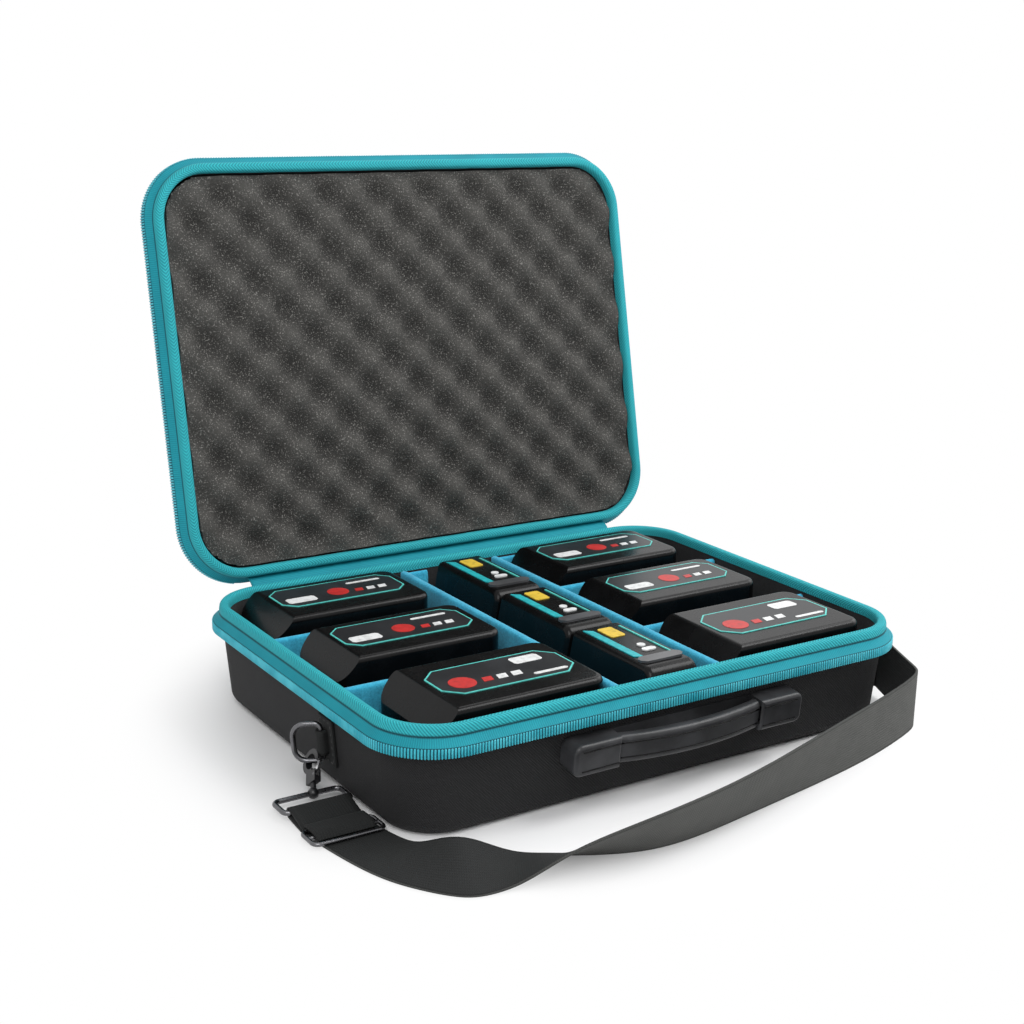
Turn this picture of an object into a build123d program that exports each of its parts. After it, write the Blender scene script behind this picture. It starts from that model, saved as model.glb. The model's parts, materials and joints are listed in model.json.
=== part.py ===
from build123d import *
import math
import os

# Battery storage box: a moulded, fabric-faced case with a zip rim, standing open.
# Millimetres, +Z up. The origin is the middle of the base's underside, the carry
# handle faces -Y, and the lid is hinged along the rear edge, at +Y.

# Case outline, measured at the zip coil
case_width = 390.0
case_depth = 293.0
corner_radius = 44.0
base_height = 70.2
lid_height = 45.0
lid_open_angle = 102.0

# Moulded shells
shell_inset = 6.0
shell_wall = 4.0
wall_draft = 5.6
base_edge_radius = 10.0
lid_edge_radius = 18.0
lining_gap = 0.1
lining_wall = 1.2

# Rim: welt, zip tape and zip coil
welt_height = 6.2
welt_outset = 1.0
welt_inset = 1.5
welt_round = 2.6
tape_wall = 1.2
tape_drop = 4.8
tape_outer_inset = 0.6
coil_width = 3.2
coil_height = 6.4
coil_round = 1.2
lid_gap = 0.4

# Fabric hinge along the rear edge
hinge_corner_gap = 6.0
hinge_inset = 1.0
hinge_bead_radius = 1.4
hinge_clearance = 0.35
hinge_end_gap = 1.0
leaf_wall = 1.5
leaf_drop = 22.0
leaf_tuck = 0.4

# Zip sliders, parked at the two ends of the zip beside the hinge
slider_length = 12.0
slider_depth = 5.4
slider_height = 6.0
slider_clearance = 0.3
ear_wall = 1.6
ear_reach = 4.6
ear_height = 4.6
pull_length = 30.0
pull_width = 8.0
pull_wall = 2.0
pull_pin_radius = 0.9
pull_pin_clearance = 0.3
pull_eye_radius = 2.2
pull_eye_width = 3.0
pull_round = 2.0
pull_slot_length = 12.0
pull_slot_width = 4.0

# Egg-crate foam in the lid
foam_inset = 11.8
foam_valley_depth = 10.5
foam_seat_gap = 0.3
foam_pitch = 40.0
foam_bump_radius = 13.6
foam_bump_height = 8.0
foam_bump_margin = 1.0

# Padded dividers
divider_wall = 6.0
cross_divider_wall = 5.0
divider_drop = 5.2
divider_clearance = 0.4
divider_end_gap = 1.2
divider_round = 2.0
divider_corner = 22.0
long_divider_x = 38.5
front_row_extra = -0.5
rear_row_extra = -7.5
flap_length = 20.0
cross_flap_length = 15.0
flap_wall = 2.0
flap_bottom = 30.0

# Large packs: a narrow slide rail below a body with a sloped nose
pack_finger_gap = 19.4
pack_floor_gap = 0.3
pack_divider_gap = 3.0
pack_rail_height = 22.0
pack_rail_inset_x = 12.0
pack_rail_inset_y = 14.0
pack_nose_run = 14.0
pack_nose_drop = 16.0
pack_corner = 10.0
pack_edge = 4.0
pack_seat_round = 1.5
front_row_slack = 9.5
rear_row_slack = 12.5
front_pack_gap = 4.5
rear_pack_gap = 4.0
middle_pack_shift = 4.5
middle_left_shift = 8.0
rear_left_shift = 10.0
tall_pack_rise = 2.0
slim_pack_rise = 0.8

# Small packs: a tapered body with a rounded latch end
small_front_gap = 4.0
small_rear_gap = 7.0
small_pack_spacing = 5.0
small_pack_width = 52.0
small_pack_top_width = 36.0
small_pack_drop = 0.0
small_pack_x = 4.0
small_rail_height = 24.0
small_rail_inset_x = 10.0
small_rail_inset_y = 18.0
small_latch_radius = 8.0

# Carry handle on the front wall
handle_drop = 16.0
handle_length = 172.0
handle_width = 20.0
handle_plate_wall = 2.0
handle_plate_width = 18.0
cap_length = 33.0
cap_depth = 13.5
cap_round = 5.0
cap_edge = 2.5
cap_gap = 0.6
grip_wall = 8.0
grip_bow = 6.0
grip_width = 18.0
grip_end_lift = 3.0
grip_round = 3.0
tongue_length = 16.0
tongue_wall = 4.0
tongue_width = 11.0
tongue_clearance = 0.8
grip_travel = 4.0
rivet_radius = 2.0
rivet_clearance = 0.2
rivet_head_radius = 4.0
rivet_head_height = 1.5
rivet_bite = 3.0
rivet_end_inset = 8.75
rivet_pitch = 7.0

# Strap tabs and rings on the side walls
tab_from_front = 103.9
tab_drop = 38.7
tab_width = 18.0
tab_length = 30.0
tab_wall = 2.0
tab_reach = 3.0
ring_wire_radius = 1.6
ring_clearance = 0.3
ring_height = 24.0
ring_reach = 17.0
ring_bar_corner = 3.6
ring_nose_corner = 8.0
ring_swing_left = 35.0
tab_fold_length = 9.0

# Swivel snap hooks
claw_inner_radius = 4.8
claw_wall = 3.0
claw_gap_start = -78.0
claw_gap_end = -8.0
hook_wall = 4.4
shank_width = 9.0
shank_length = 7.5
gate_wall = 2.0
gate_thickness = 2.2
gate_clearance = 0.3
gate_pin_radius = 0.8
gate_pin_clearance = 0.15
gate_tip_gap = 0.5
stem_radius = 1.7
stem_length = 3.0
stem_bite = 1.1
ball_radius = 3.4
eye_clearance = 0.3
claw_slack = 1.2
right_claw_slack = 0.6
right_hook_rise = 25.0
left_hook_heading = 27.0
left_hook_twist = 40.0
left_ball_height = 5.5

# Strap, its end loops and its slider
strap_width = 38.0
strap_shift = -4.5
front_run_start = 86.0
front_run_stop = 65.0
right_loop_z = 25.5
floor_lift = 0.1
strap_wall = 1.6
loop_wire_radius = 1.6
loop_width = 42.5
loop_length = 17.0
loop_corner = 4.0
sleeve_length = 19.0
sleeve_clearance = 0.3
sleeve_join_gap = 0.3
slider_frame_width = 44.0
slider_frame_length = 18.0
slider_wire_radius = 1.3
slider_corner = 4.0
slider_lift = 0.3
slider_gap = 1.0

# Places that follow from the sizes above
half_depth = case_depth / 2
half_width = case_width / 2
draft_rate = math.tan(math.radians(wall_draft))
hinge_y = half_depth - hinge_inset
hinge_z = base_height + lid_gap / 2
inner_inset = shell_inset + shell_wall + lining_gap + lining_wall
floor_z = shell_wall + lining_gap + lining_wall
coil_bottom = welt_height + tape_drop + coil_height
hinge_length = case_width - 2 * corner_radius - 2 * hinge_corner_gap
divider_top = base_height - divider_drop
handle_height = base_height - coil_bottom - handle_drop
tab_y = tab_from_front - half_depth
tab_height = base_height - tab_drop
pack_z = floor_z + pack_floor_gap
tall_pack_height = base_height + tall_pack_rise - pack_z
slim_pack_height = base_height + slim_pack_rise - pack_z
small_pack_height = base_height - small_pack_drop - pack_z


def outline(inset):
    """The case's rounded outline, drawn in by inset from the zip coil."""
    return RectangleRounded(
        case_width - 2 * inset, case_depth - 2 * inset, corner_radius - inset
    )


def inset_at(inset, depth):
    """How far a drafted wall stands in from the coil, at a depth below the rim."""
    return inset + (depth - welt_height) * draft_rate


def tub(inset, top, depth, edge_radius):
    """A drafted solid from top to depth below the rim, with a rounded lower edge."""
    start = Plane.XY.offset(-top) * outline(inset_at(inset, top))
    block = extrude(start, amount=-(depth - top), taper=wall_draft)
    return fillet(block.faces().sort_by(Axis.Z)[0].edges(), edge_radius)


def band(outside, inside, top, bottom):
    """An upright band between two outlines, from top to bottom below the rim."""
    outer = extrude(Plane.XY.offset(-bottom) * outline(outside), bottom - top)
    inner = extrude(Plane.XY.offset(-bottom) * outline(inside), bottom - top)
    return outer - inner


def shell(height, edge_radius):
    """One moulded half, open at the rim."""
    outer = tub(shell_inset, welt_height, height, edge_radius)
    inner = tub(shell_inset + shell_wall, welt_height, height - shell_wall, edge_radius - shell_wall)
    return outer - inner


def lining(height, edge_radius):
    """The cloth lining, a thin skin inside a moulded half."""
    outer_inset = shell_inset + shell_wall + lining_gap
    depth = height - shell_wall - lining_gap
    radius = edge_radius - shell_wall - lining_gap
    outer = tub(outer_inset, welt_height, depth, radius)
    inner = tub(outer_inset + lining_wall, welt_height, depth - lining_wall, radius - lining_wall)
    return outer - inner


def welt():
    """The upright rounded binding round the rim."""
    inside = shell_inset + shell_wall + welt_inset
    ring = band(shell_inset - welt_outset, inside, 0, welt_height)
    return fillet(ring.faces().sort_by(Axis.Z)[-1].edges(), welt_round)


def hinge_cut(half_length, drop):
    """The block that takes the rim's rear run away, where the hinge is."""
    block = Box(2 * half_length, 2 * corner_radius, 2 * drop)
    return Pos(0, half_depth, 0) * block


def zip_tape():
    """The zip tape, flaring outwards below the welt, open along the hinge."""
    tape_inset = shell_inset - tape_wall
    flare = math.degrees(math.atan((tape_inset - tape_outer_inset) / tape_drop))
    start = Plane.XY.offset(-welt_height)
    outer = extrude(start * outline(tape_inset), amount=-tape_drop, taper=-flare)
    inner = extrude(start * outline(shell_inset), amount=-tape_drop, taper=-flare)
    return outer - inner - hinge_cut(hinge_length / 2 + hinge_end_gap, coil_bottom)


def zip_coil():
    """The zip's row of teeth, hanging on the tape's outer edge."""
    top = welt_height + tape_drop
    ring = band(0, coil_width, top, top + coil_height)
    ring = fillet(ring.faces().sort_by(Axis.Z)[0].edges(), coil_round)
    run_out = hinge_end_gap + slider_length + 2 * slider_clearance
    return ring - hinge_cut(hinge_length / 2 + run_out, coil_bottom + coil_height)


def hinge_leaf():
    """One leaf of the fabric hinge, from the shell's rear wall up to the hinge line."""
    foot = -inset_at(shell_inset, leaf_drop)
    knee = welt_outset - shell_inset + lining_gap
    tip = -hinge_inset
    points = [
        (half_depth + foot + lining_gap, -leaf_drop),
        (half_depth + foot + lining_gap + leaf_wall, -leaf_drop),
        (half_depth + knee + leaf_wall, -welt_height),
        (half_depth + tip + leaf_wall / 2, -leaf_tuck),
        (half_depth + tip - leaf_wall / 2, -leaf_tuck),
        (half_depth + knee, -welt_height),
    ]
    face = Plane.YZ * make_face(Polyline(points, close=True))
    return extrude(face, hinge_length / 2, both=True)


def hinge_line(radius, length):
    """A round bar along the hinge line, in the rim's own frame."""
    return Pos(0, hinge_y, lid_gap / 2) * Rot(0, 90, 0) * Cylinder(radius, length)


def base_place(piece):
    """Lift a piece from the rim's own frame to the base."""
    return Pos(0, 0, base_height) * piece


def lid_place(piece):
    """Turn a piece from the rim's own frame over into the lid, standing open."""
    shut = Pos(0, 0, base_height + lid_gap) * mirror(piece, about=Plane.XY)
    to_hinge = Pos(0, hinge_y, hinge_z)
    return to_hinge * Rot(-lid_open_angle, 0, 0) * to_hinge.inverse() * shut


def foam():
    """The lid's egg-crate foam: a slab with staggered domes."""
    depth = lid_height - shell_wall - lining_gap - lining_wall - foam_seat_gap
    radius = lid_edge_radius - shell_wall - lining_gap - lining_wall
    slab = tub(foam_inset, foam_valley_depth, depth, radius)
    dome_radius = (foam_bump_radius**2 + foam_bump_height**2) / (2 * foam_bump_height)
    ball = Pos(0, 0, foam_bump_height - dome_radius) * Sphere(dome_radius)
    dome = split(ball, bisect_by=Plane.XY, keep=Keep.TOP)
    keep_in = foam_inset + foam_bump_radius + foam_bump_margin
    columns = int((case_width - 2 * keep_in) // (foam_pitch / 2))
    rows = int((case_depth - 2 * keep_in) // (foam_pitch / 2))
    domes = []
    for column in range(columns + 1):
        for row in range(rows + 1):
            x = (column - columns / 2) * foam_pitch / 2
            y = (row - rows / 2) * foam_pitch / 2
            corner_x = max(abs(x) - half_width + corner_radius, 0)
            corner_y = max(abs(y) - half_depth + corner_radius, 0)
            fits = math.hypot(corner_x, corner_y) <= corner_radius - keep_in
            if fits and (column + row) % 2 == 0:
                domes.append(Pos(x, y, -foam_valley_depth) * dome)
    return slab + domes


def wall_edge(z, inset):
    """The inner wall's distance in from the coil outline at a height on the base."""
    return inset_at(inset, base_height - z)


# Rows from front to rear and columns from side to side, between the walls at the packs' lower edge
row_wall_y = half_depth - wall_edge(pack_z + pack_rail_height, inner_inset)
column_wall_x = half_width - wall_edge(pack_z + pack_rail_height, inner_inset)
row_depth = 2 * (row_wall_y - cross_divider_wall) / 3
front_row_depth = row_depth + front_row_extra
rear_row_depth = row_depth + rear_row_extra
cross_divider_front_y = front_row_depth + cross_divider_wall / 2 - row_wall_y
cross_divider_rear_y = row_wall_y - rear_row_depth - cross_divider_wall / 2
tall_pack_width = front_row_depth - front_row_slack
slim_pack_width = rear_row_depth - rear_row_slack
front_pack_y = front_pack_gap + tall_pack_width / 2 - row_wall_y
rear_pack_y = row_wall_y - rear_pack_gap - slim_pack_width / 2
middle_pack_y = (cross_divider_front_y + cross_divider_rear_y) / 2 + middle_pack_shift
pack_inner_x = long_divider_x + divider_wall / 2 + pack_divider_gap
pack_length = column_wall_x - pack_inner_x - pack_finger_gap
small_row = 2 * row_wall_y - small_front_gap - small_rear_gap - 2 * small_pack_spacing
small_pack_length = small_row / 3


def divider_panel(length_top, length_low, low_z, wall):
    """A padded panel across the case, with rounded lower corners and a rounded top."""
    points = [
        (-length_low / 2, low_z),
        (length_low / 2, low_z),
        (length_top / 2, divider_top),
        (-length_top / 2, divider_top),
    ]
    profile = make_face(Polyline(points, close=True))
    low_corners = profile.vertices().sort_by(Axis.Y)[:2]
    profile = fillet(low_corners, divider_corner)
    panel = extrude(Plane.XZ * profile, wall / 2, both=True)
    top_edges = panel.faces().sort_by(Axis.Z)[-1].edges().filter_by(Axis.X)
    return fillet(top_edges, divider_round)


def long_divider(side):
    """A front-to-back divider with hook-and-loop flaps on the front and rear walls."""
    low_z = floor_z + divider_clearance
    edge_low = half_depth - wall_edge(low_z, inner_inset) - divider_end_gap
    edge_top = half_depth - wall_edge(divider_top, inner_inset) - divider_end_gap
    panel = Rot(0, 0, 90) * divider_panel(2 * edge_top, 2 * edge_low, low_z, divider_wall)
    flap_low = half_depth - wall_edge(flap_bottom, inner_inset) - divider_end_gap
    points = [
        (flap_low, flap_bottom),
        (edge_top, divider_top - divider_round),
        (edge_top - flap_wall, divider_top - divider_round),
        (flap_low - flap_wall, flap_bottom),
    ]
    flap = extrude(Plane.YZ * make_face(Polyline(points, close=True)), flap_length)
    flaps = flap + mirror(flap, about=Plane.XZ)
    return Pos(side * long_divider_x, 0, 0) * (panel + flaps)


def cross_divider(side, y):
    """A short divider between a long divider and a side wall, with a flap at its inner end."""
    low_z = floor_z + divider_clearance
    inner_x = long_divider_x + divider_wall / 2 + divider_clearance
    outer_low = half_width - wall_edge(low_z, inner_inset) - divider_end_gap
    outer_top = half_width - wall_edge(divider_top, inner_inset) - divider_end_gap
    points = [
        (inner_x, low_z),
        (outer_low, low_z),
        (outer_top, divider_top - divider_round),
        (inner_x, divider_top - divider_round),
    ]
    profile = make_face(Polyline(points, close=True))
    corner = profile.vertices().group_by(Axis.Y)[0].sort_by(Axis.X)[-1]
    profile = fillet([corner], divider_corner)
    panel = extrude(Plane.XZ * profile, cross_divider_wall / 2, both=True)
    top_edges = panel.faces().sort_by(Axis.Z)[-1].edges().filter_by(Axis.X)
    panel = fillet(top_edges, divider_round)
    flap_height = divider_top - 2 * divider_round - flap_bottom
    flap_align = (Align.MIN, Align.MAX, Align.MIN)
    flap = Box(flap_wall, cross_flap_length, flap_height, align=flap_align)
    flap = Pos(inner_x, cross_divider_wall / 2, flap_bottom) * flap
    whole = Pos(0, y, 0) * (panel + flap)
    return whole if side > 0 else mirror(whole, about=Plane.YZ)


def large_pack(width, height):
    """A large slide-on pack lying on its rail, with its sloped nose towards -X."""
    half = pack_length / 2
    points = [
        (-half, pack_rail_height),
        (half, pack_rail_height),
        (half, height),
        (-half + pack_nose_run, height),
        (-half, height - pack_nose_drop),
    ]
    body = extrude(Plane.XZ * make_face(Polyline(points, close=True)), width / 2, both=True)
    ends = body.edges().filter_by(Axis.Z)
    body = fillet(ends, pack_corner)
    nose_rims = body.faces().filter_by(GeomType.PLANE).sort_by(Axis.Z)[-1].edges()
    body = fillet(nose_rims, pack_edge)
    rail = Box(
        pack_length - 2 * pack_rail_inset_x,
        width - 2 * pack_rail_inset_y,
        pack_rail_height,
        align=(Align.CENTER, Align.CENTER, Align.MIN),
    )
    rail = fillet(rail.edges().filter_by(Axis.Z), pack_seat_round)
    return body + rail


def small_pack():
    """A small slide-on pack lying on its rail, with its latch end towards -Y."""
    half = small_pack_length / 2
    points = [
        (-small_pack_width / 2, small_rail_height),
        (small_pack_width / 2, small_rail_height),
        (small_pack_top_width / 2, small_pack_height),
        (-small_pack_top_width / 2, small_pack_height),
    ]
    profile = make_face(Polyline(points, close=True))
    body = extrude(Plane.XZ * profile, half, both=True)
    front_top = body.faces().sort_by(Axis.Z)[-1].edges().sort_by(Axis.Y)[0]
    body = fillet([front_top], small_latch_radius)
    long_edges = body.faces().sort_by(Axis.Z)[-1].edges().filter_by(Axis.Y)
    body = fillet(long_edges, pack_edge)
    rail = Box(
        small_pack_width - 2 * small_rail_inset_x,
        small_pack_length - 2 * small_rail_inset_y,
        small_rail_height,
        align=(Align.CENTER, Align.CENTER, Align.MIN),
    )
    rail = fillet(rail.edges().filter_by(Axis.Z), pack_seat_round)
    return body + rail


def wall_frame(angle, distance, along, height):
    """A frame on a base wall: x runs along the wall, y up it, and z straight out of it."""
    out = (
        math.sin(math.radians(angle)) * math.cos(math.radians(wall_draft)),
        -math.cos(math.radians(angle)) * math.cos(math.radians(wall_draft)),
        -math.sin(math.radians(wall_draft)),
    )
    run = (math.cos(math.radians(angle)), math.sin(math.radians(angle)), 0)
    reach = distance - wall_edge(height, shell_inset)
    origin = (
        reach * math.sin(math.radians(angle)) + along * run[0],
        -reach * math.cos(math.radians(angle)) + along * run[1],
        height,
    )
    return Plane(origin=origin, x_dir=run, z_dir=out)


handle_frame = wall_frame(0, half_depth, 0, handle_height)
cap_inner_x = handle_length / 2 - cap_length
grip_low_z = handle_plate_wall + grip_end_lift


def handle_plate():
    """The flat back plate that joins the two end caps on the wall."""
    on_wall = (Align.CENTER, Align.CENTER, Align.MIN)
    plate = Box(handle_length, handle_plate_width, handle_plate_wall, align=on_wall)
    return fillet(plate.edges().filter_by(Axis.Z), cap_round) - rivet_holes()


def rivet_places():
    """The places of the rivets along the wall, two to each cap."""
    middle = handle_length / 2 - rivet_end_inset
    return [(side * middle, lift * rivet_pitch / 2) for side in (-1, 1) for lift in (-1, 1)]


def rivet_holes():
    """The clearance holes for the rivets, through plate, shell and lining."""
    depth = shell_wall + lining_wall + lining_gap + rivet_bite
    drill = Cylinder(rivet_radius + rivet_clearance, 4 * depth)
    holes = [Pos(x, y, 0) * drill for x, y in rivet_places()]
    return holes[0] + holes[1:]


def rivets():
    """The rivets, with their heads on the lining and their shanks up in the caps."""
    head_z = -(shell_wall + lining_gap + lining_wall) - lining_gap
    length = handle_plate_wall + rivet_bite - head_z
    shank = Pos(0, 0, head_z) * Cylinder(
        rivet_radius, length, align=(Align.CENTER, Align.CENTER, Align.MIN)
    )
    head = Pos(0, 0, head_z) * Cylinder(
        rivet_head_radius, rivet_head_height, align=(Align.CENTER, Align.CENTER, Align.MAX)
    )
    rivet = shank + head
    return Compound([handle_frame.location * Pos(x, y, 0) * rivet for x, y in rivet_places()])


def handle_cap(side):
    """An end cap, with the pocket that the grip's tongue slides in."""
    cap = Box(cap_length, handle_width, cap_depth, align=(Align.MIN, Align.CENTER, Align.MIN))
    cap = fillet(cap.faces().sort_by(Axis.X)[-1].edges().filter_by(Axis.Z), cap_round)
    cap = fillet(cap.faces().sort_by(Axis.Z)[-1].edges(), cap_edge)
    pocket = Box(
        tongue_length + cap_gap,
        tongue_width + 2 * tongue_clearance,
        tongue_wall + grip_travel + 2 * tongue_clearance,
        align=(Align.MIN, Align.CENTER, Align.MIN),
    )
    lift = grip_low_z - handle_plate_wall - tongue_clearance
    cap = cap - Pos(0, 0, lift) * pocket
    cap = Pos(cap_inner_x, 0, handle_plate_wall) * cap
    cap = cap if side > 0 else mirror(cap, about=Plane.YZ)
    bite = handle_plate_wall + rivet_bite + rivet_clearance
    drill = Cylinder(rivet_radius + rivet_clearance, 2 * bite)
    return cap - [Pos(x, y, 0) * drill for x, y in rivet_places()]


def handle_grip():
    """The bowed grip, with a tongue at each end held captive in the caps."""
    half = cap_inner_x - cap_gap
    low = grip_low_z
    high = low + grip_wall
    outer = ThreePointArc((-half, high), (0, high + grip_bow), (half, high))
    inner = ThreePointArc((half, low), (0, low + grip_bow), (-half, low))
    ends = [Line((half, high), (half, low)), Line((-half, low), (-half, high))]
    profile = make_face(Wire([outer, ends[0], inner, ends[1]]))
    bar = extrude(Plane.XZ * profile, grip_width / 2, both=True)
    long_edges = bar.edges().filter_by(GeomType.CIRCLE)
    bar = fillet(long_edges, grip_round)
    tongue = Box(
        2 * (half + tongue_length),
        tongue_width,
        tongue_wall,
        align=(Align.CENTER, Align.CENTER, Align.MIN),
    )
    tongue = tongue - Box(2 * half, 2 * tongue_width, 4 * tongue_wall)
    return bar + Pos(0, 0, low) * tongue


def wire_loop(corners, radii, wire_radius):
    """A closed loop of round wire through rounded corners, drawn in the XY plane."""
    path = FilletPolyline(corners, radius=radii, close=True)
    start = path.edges().sort_by(SortBy.LENGTH)[-1]
    section = Plane(origin=start @ 0.5, z_dir=start % 0.5) * Circle(wire_radius)
    return sweep(section, path=path)


def tab_bar_z():
    """How far the ring's bar stands out from the wall."""
    return tab_wall + tab_reach


def strap_tab():
    """A sewn tab on the wall: a patch, a short tongue and the fold that holds the ring."""
    patch = Box(tab_width, tab_length, tab_wall, align=(Align.CENTER, Align.CENTER, Align.MIN))
    fold_outer = ring_wire_radius + ring_clearance + tab_wall
    fold = Rot(90, 0, 0) * Cylinder(fold_outer, tab_fold_length)
    on_wall = (Align.CENTER, Align.CENTER, Align.MIN)
    tongue = Box(2 * tab_wall, tab_fold_length, tab_bar_z(), align=on_wall)
    bore = Rot(90, 0, 0) * Cylinder(ring_wire_radius + ring_clearance, 2 * tab_length)
    place = Pos(0, 0, tab_bar_z())
    return patch + tongue + place * fold - place * bore


def strap_ring(swing):
    """A D-ring on the tab's bar, swung about it by an angle from square to the wall."""
    corners = [
        (0, -ring_height / 2),
        (0, ring_height / 2),
        (ring_reach, ring_height / 2),
        (ring_reach, -ring_height / 2),
    ]
    radii = [ring_bar_corner, ring_bar_corner, ring_nose_corner, ring_nose_corner]
    ring = wire_loop(corners, radii, ring_wire_radius)
    upright = Rot(0, -90 + swing, 0) * ring
    return Pos(0, 0, tab_bar_z()) * upright


def ring_point(tab_frame, swing, reach, lift):
    """The world place of a point on a ring, at a reach from its bar and a lift up it."""
    turned = Rot(0, -90 + swing, 0) * Pos(reach, lift, 0)
    return (tab_frame.location * Pos(0, 0, tab_bar_z()) * turned).position


claw_outer_radius = claw_inner_radius + claw_wall
shank_top = -claw_inner_radius - claw_wall / 2
shank_bottom = shank_top - shank_length
ball_y = shank_bottom - stem_length - ball_radius
gate_pivot = (shank_width / 2 - gate_thickness / 2 - gate_clearance, shank_top - claw_wall)


def claw_point(radius, angle):
    """A point on the claw's round, by its angle from the hook's +X."""
    return (radius * math.cos(math.radians(angle)), radius * math.sin(math.radians(angle)))


def snap_hook(bore_turn):
    """A snap hook in the XY plane: claw round the origin, shank, stem and ball below."""
    ring = Circle(claw_outer_radius) - Circle(claw_inner_radius)
    far = 3 * claw_outer_radius
    wedge = [(0, 0), claw_point(far, claw_gap_start), (far, 0), claw_point(far, claw_gap_end)]
    mouth = make_face(Polyline(wedge, close=True))
    shank = Pos(0, (shank_top + shank_bottom) / 2) * Rectangle(shank_width, shank_length)
    plate = extrude((ring - mouth) + shank, hook_wall / 2, both=True)
    slot_width = gate_wall + 2 * gate_clearance
    slot_x = gate_pivot[0] - gate_thickness / 2 - gate_clearance
    slot_length = -(shank_bottom + claw_wall)
    slot_align = (Align.MIN, Align.MAX, Align.CENTER)
    slot = Pos(slot_x, 0, 0) * Box(shank_width, slot_length, slot_width, align=slot_align)
    pin_hole = Pos(gate_pivot[0], gate_pivot[1], 0) * Cylinder(gate_pin_radius, 2 * hook_wall)
    stem = Pos(0, shank_bottom, 0) * Rot(90, 0, 0) * Cylinder(
        stem_radius, stem_length + stem_bite, align=(Align.CENTER, Align.CENTER, Align.MIN)
    )
    ball = Pos(0, ball_y, 0) * Rot(90, 0, 0) * Sphere(ball_radius)
    bore = Pos(0, ball_y, 0) * bore_turn * Cylinder(loop_wire_radius + eye_clearance, 4 * ball_radius)
    return plate - slot - pin_hole + stem + ball - bore


def hook_gate():
    """The sprung gate that closes the claw's mouth, hung on its pin."""
    tip = claw_point(claw_outer_radius - gate_thickness / 2, claw_gap_end)
    start = Vector(*gate_pivot)
    stop = Vector(tip[0], tip[1] - gate_thickness / 2 - gate_tip_gap)
    length = (stop - start).length
    lean = math.degrees(math.atan2(stop.Y - start.Y, stop.X - start.X))
    bar = Pos(length / 2, 0) * SlotCenterToCenter(length, gate_thickness)
    gate = extrude(Rot(0, 0, lean) * bar, gate_wall / 2, both=True)
    bore = Cylinder(gate_pin_radius + gate_pin_clearance, 2 * hook_wall)
    return Pos(start.X, start.Y, 0) * (gate - bore)


def gate_pin():
    """The gate's pin, through both cheeks of the shank."""
    return Pos(gate_pivot[0], gate_pivot[1], 0) * Cylinder(gate_pin_radius, hook_wall)


left_tab_frame = wall_frame(-90, half_width, -tab_y, tab_height)
right_tab_frame = wall_frame(90, half_width, tab_y, tab_height)


def bar_turn(frame, bar):
    """The turn, in a hook's own frame, that lays its ball's bore along a loop's bar."""
    along = Vector(frame.x_dir.dot(bar), frame.y_dir.dot(bar), frame.z_dir.dot(bar))
    return Plane(origin=(0, 0, 0), z_dir=along).location


# The left hook leans from the foot of its ring until its ball nearly rests on the floor
left_swing = math.radians(ring_swing_left)
left_heading = math.radians(left_hook_heading)
ring_foot_reach = (ring_bar_corner + ring_reach - ring_nose_corner) / 2
left_eye = ring_point(left_tab_frame, -ring_swing_left, ring_foot_reach, -ring_height / 2)
hook_reach = claw_slack - ball_y
left_lean = math.acos(min((left_eye.Z - left_ball_height) / hook_reach, 1))
left_axis = Vector(math.sin(left_heading), math.cos(left_heading), 0) * math.sin(left_lean)
left_axis = left_axis + Vector(0, 0, math.cos(left_lean))
left_wire = Vector(-math.cos(left_swing), math.sin(left_swing), 0)
left_normal = (left_wire - left_axis * left_wire.dot(left_axis)).normalized()
left_normal = left_normal.rotate(Axis((0, 0, 0), left_axis), left_hook_twist)
left_claw = left_eye - left_axis * claw_slack
left_hook_frame = Plane(origin=left_claw, x_dir=left_axis.cross(left_normal), z_dir=left_normal)
left_ball = left_claw + left_axis * ball_y

# The right hook is drawn forwards by the strap from the nose of its ring
right_rise = math.radians(right_hook_rise)
right_axis = Vector(0, math.cos(right_rise), math.sin(right_rise))
right_normal = Vector(0, -math.sin(right_rise), math.cos(right_rise))
right_eye = ring_point(right_tab_frame, 0, ring_reach, 0)
right_claw = right_eye - right_axis * right_claw_slack
right_hook_frame = Plane(origin=right_claw, x_dir=right_axis.cross(right_normal), z_dir=right_normal)
right_ball = right_claw + right_axis * ball_y

# Each end loop has its ball bar at the origin and its strap bar at +Y of its frame
strap_start_x = left_ball.X + strap_shift
left_bar = Vector(strap_start_x, left_ball.Y, left_ball.Z)
right_bar = Vector(right_ball.X, right_ball.Y, right_loop_z)
left_loop_frame = Plane(origin=left_bar, x_dir=(-1, 0, 0), z_dir=(0, 0, 1))
right_loop_frame = Plane(origin=right_bar, x_dir=(0, 0, 1), z_dir=(1, 0, 0))


def end_loop():
    """A wire loop between a hook's ball and the strap's end."""
    half = loop_width / 2
    corners = [(-half, 0), (half, 0), (half, loop_length), (-half, loop_length)]
    return wire_loop(corners, [loop_corner] * len(corners), loop_wire_radius)


def strap_sleeve(tail_drop):
    """The strap's sewn end, folded round the loop's strap bar."""
    bore = loop_wire_radius + sleeve_clearance
    outer = bore + strap_wall
    bar = Pos(loop_length, 0)
    tail_x = loop_length + sleeve_length
    tail = [
        (loop_length, outer),
        (loop_length, -outer),
        (tail_x, -tail_drop - strap_wall),
        (tail_x, -tail_drop + strap_wall),
    ]
    profile = bar * Circle(outer) + make_face(Polyline(tail, close=True)) - bar * Circle(bore)
    return extrude(Plane.YZ * profile, strap_width / 2, both=True)


left_tail_drop = left_ball.Z - strap_wall - floor_lift
left_tail_y = left_ball.Y - loop_length - sleeve_length - sleeve_join_gap
right_tail_y = right_ball.Y - loop_length - sleeve_length - sleeve_join_gap

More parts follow.
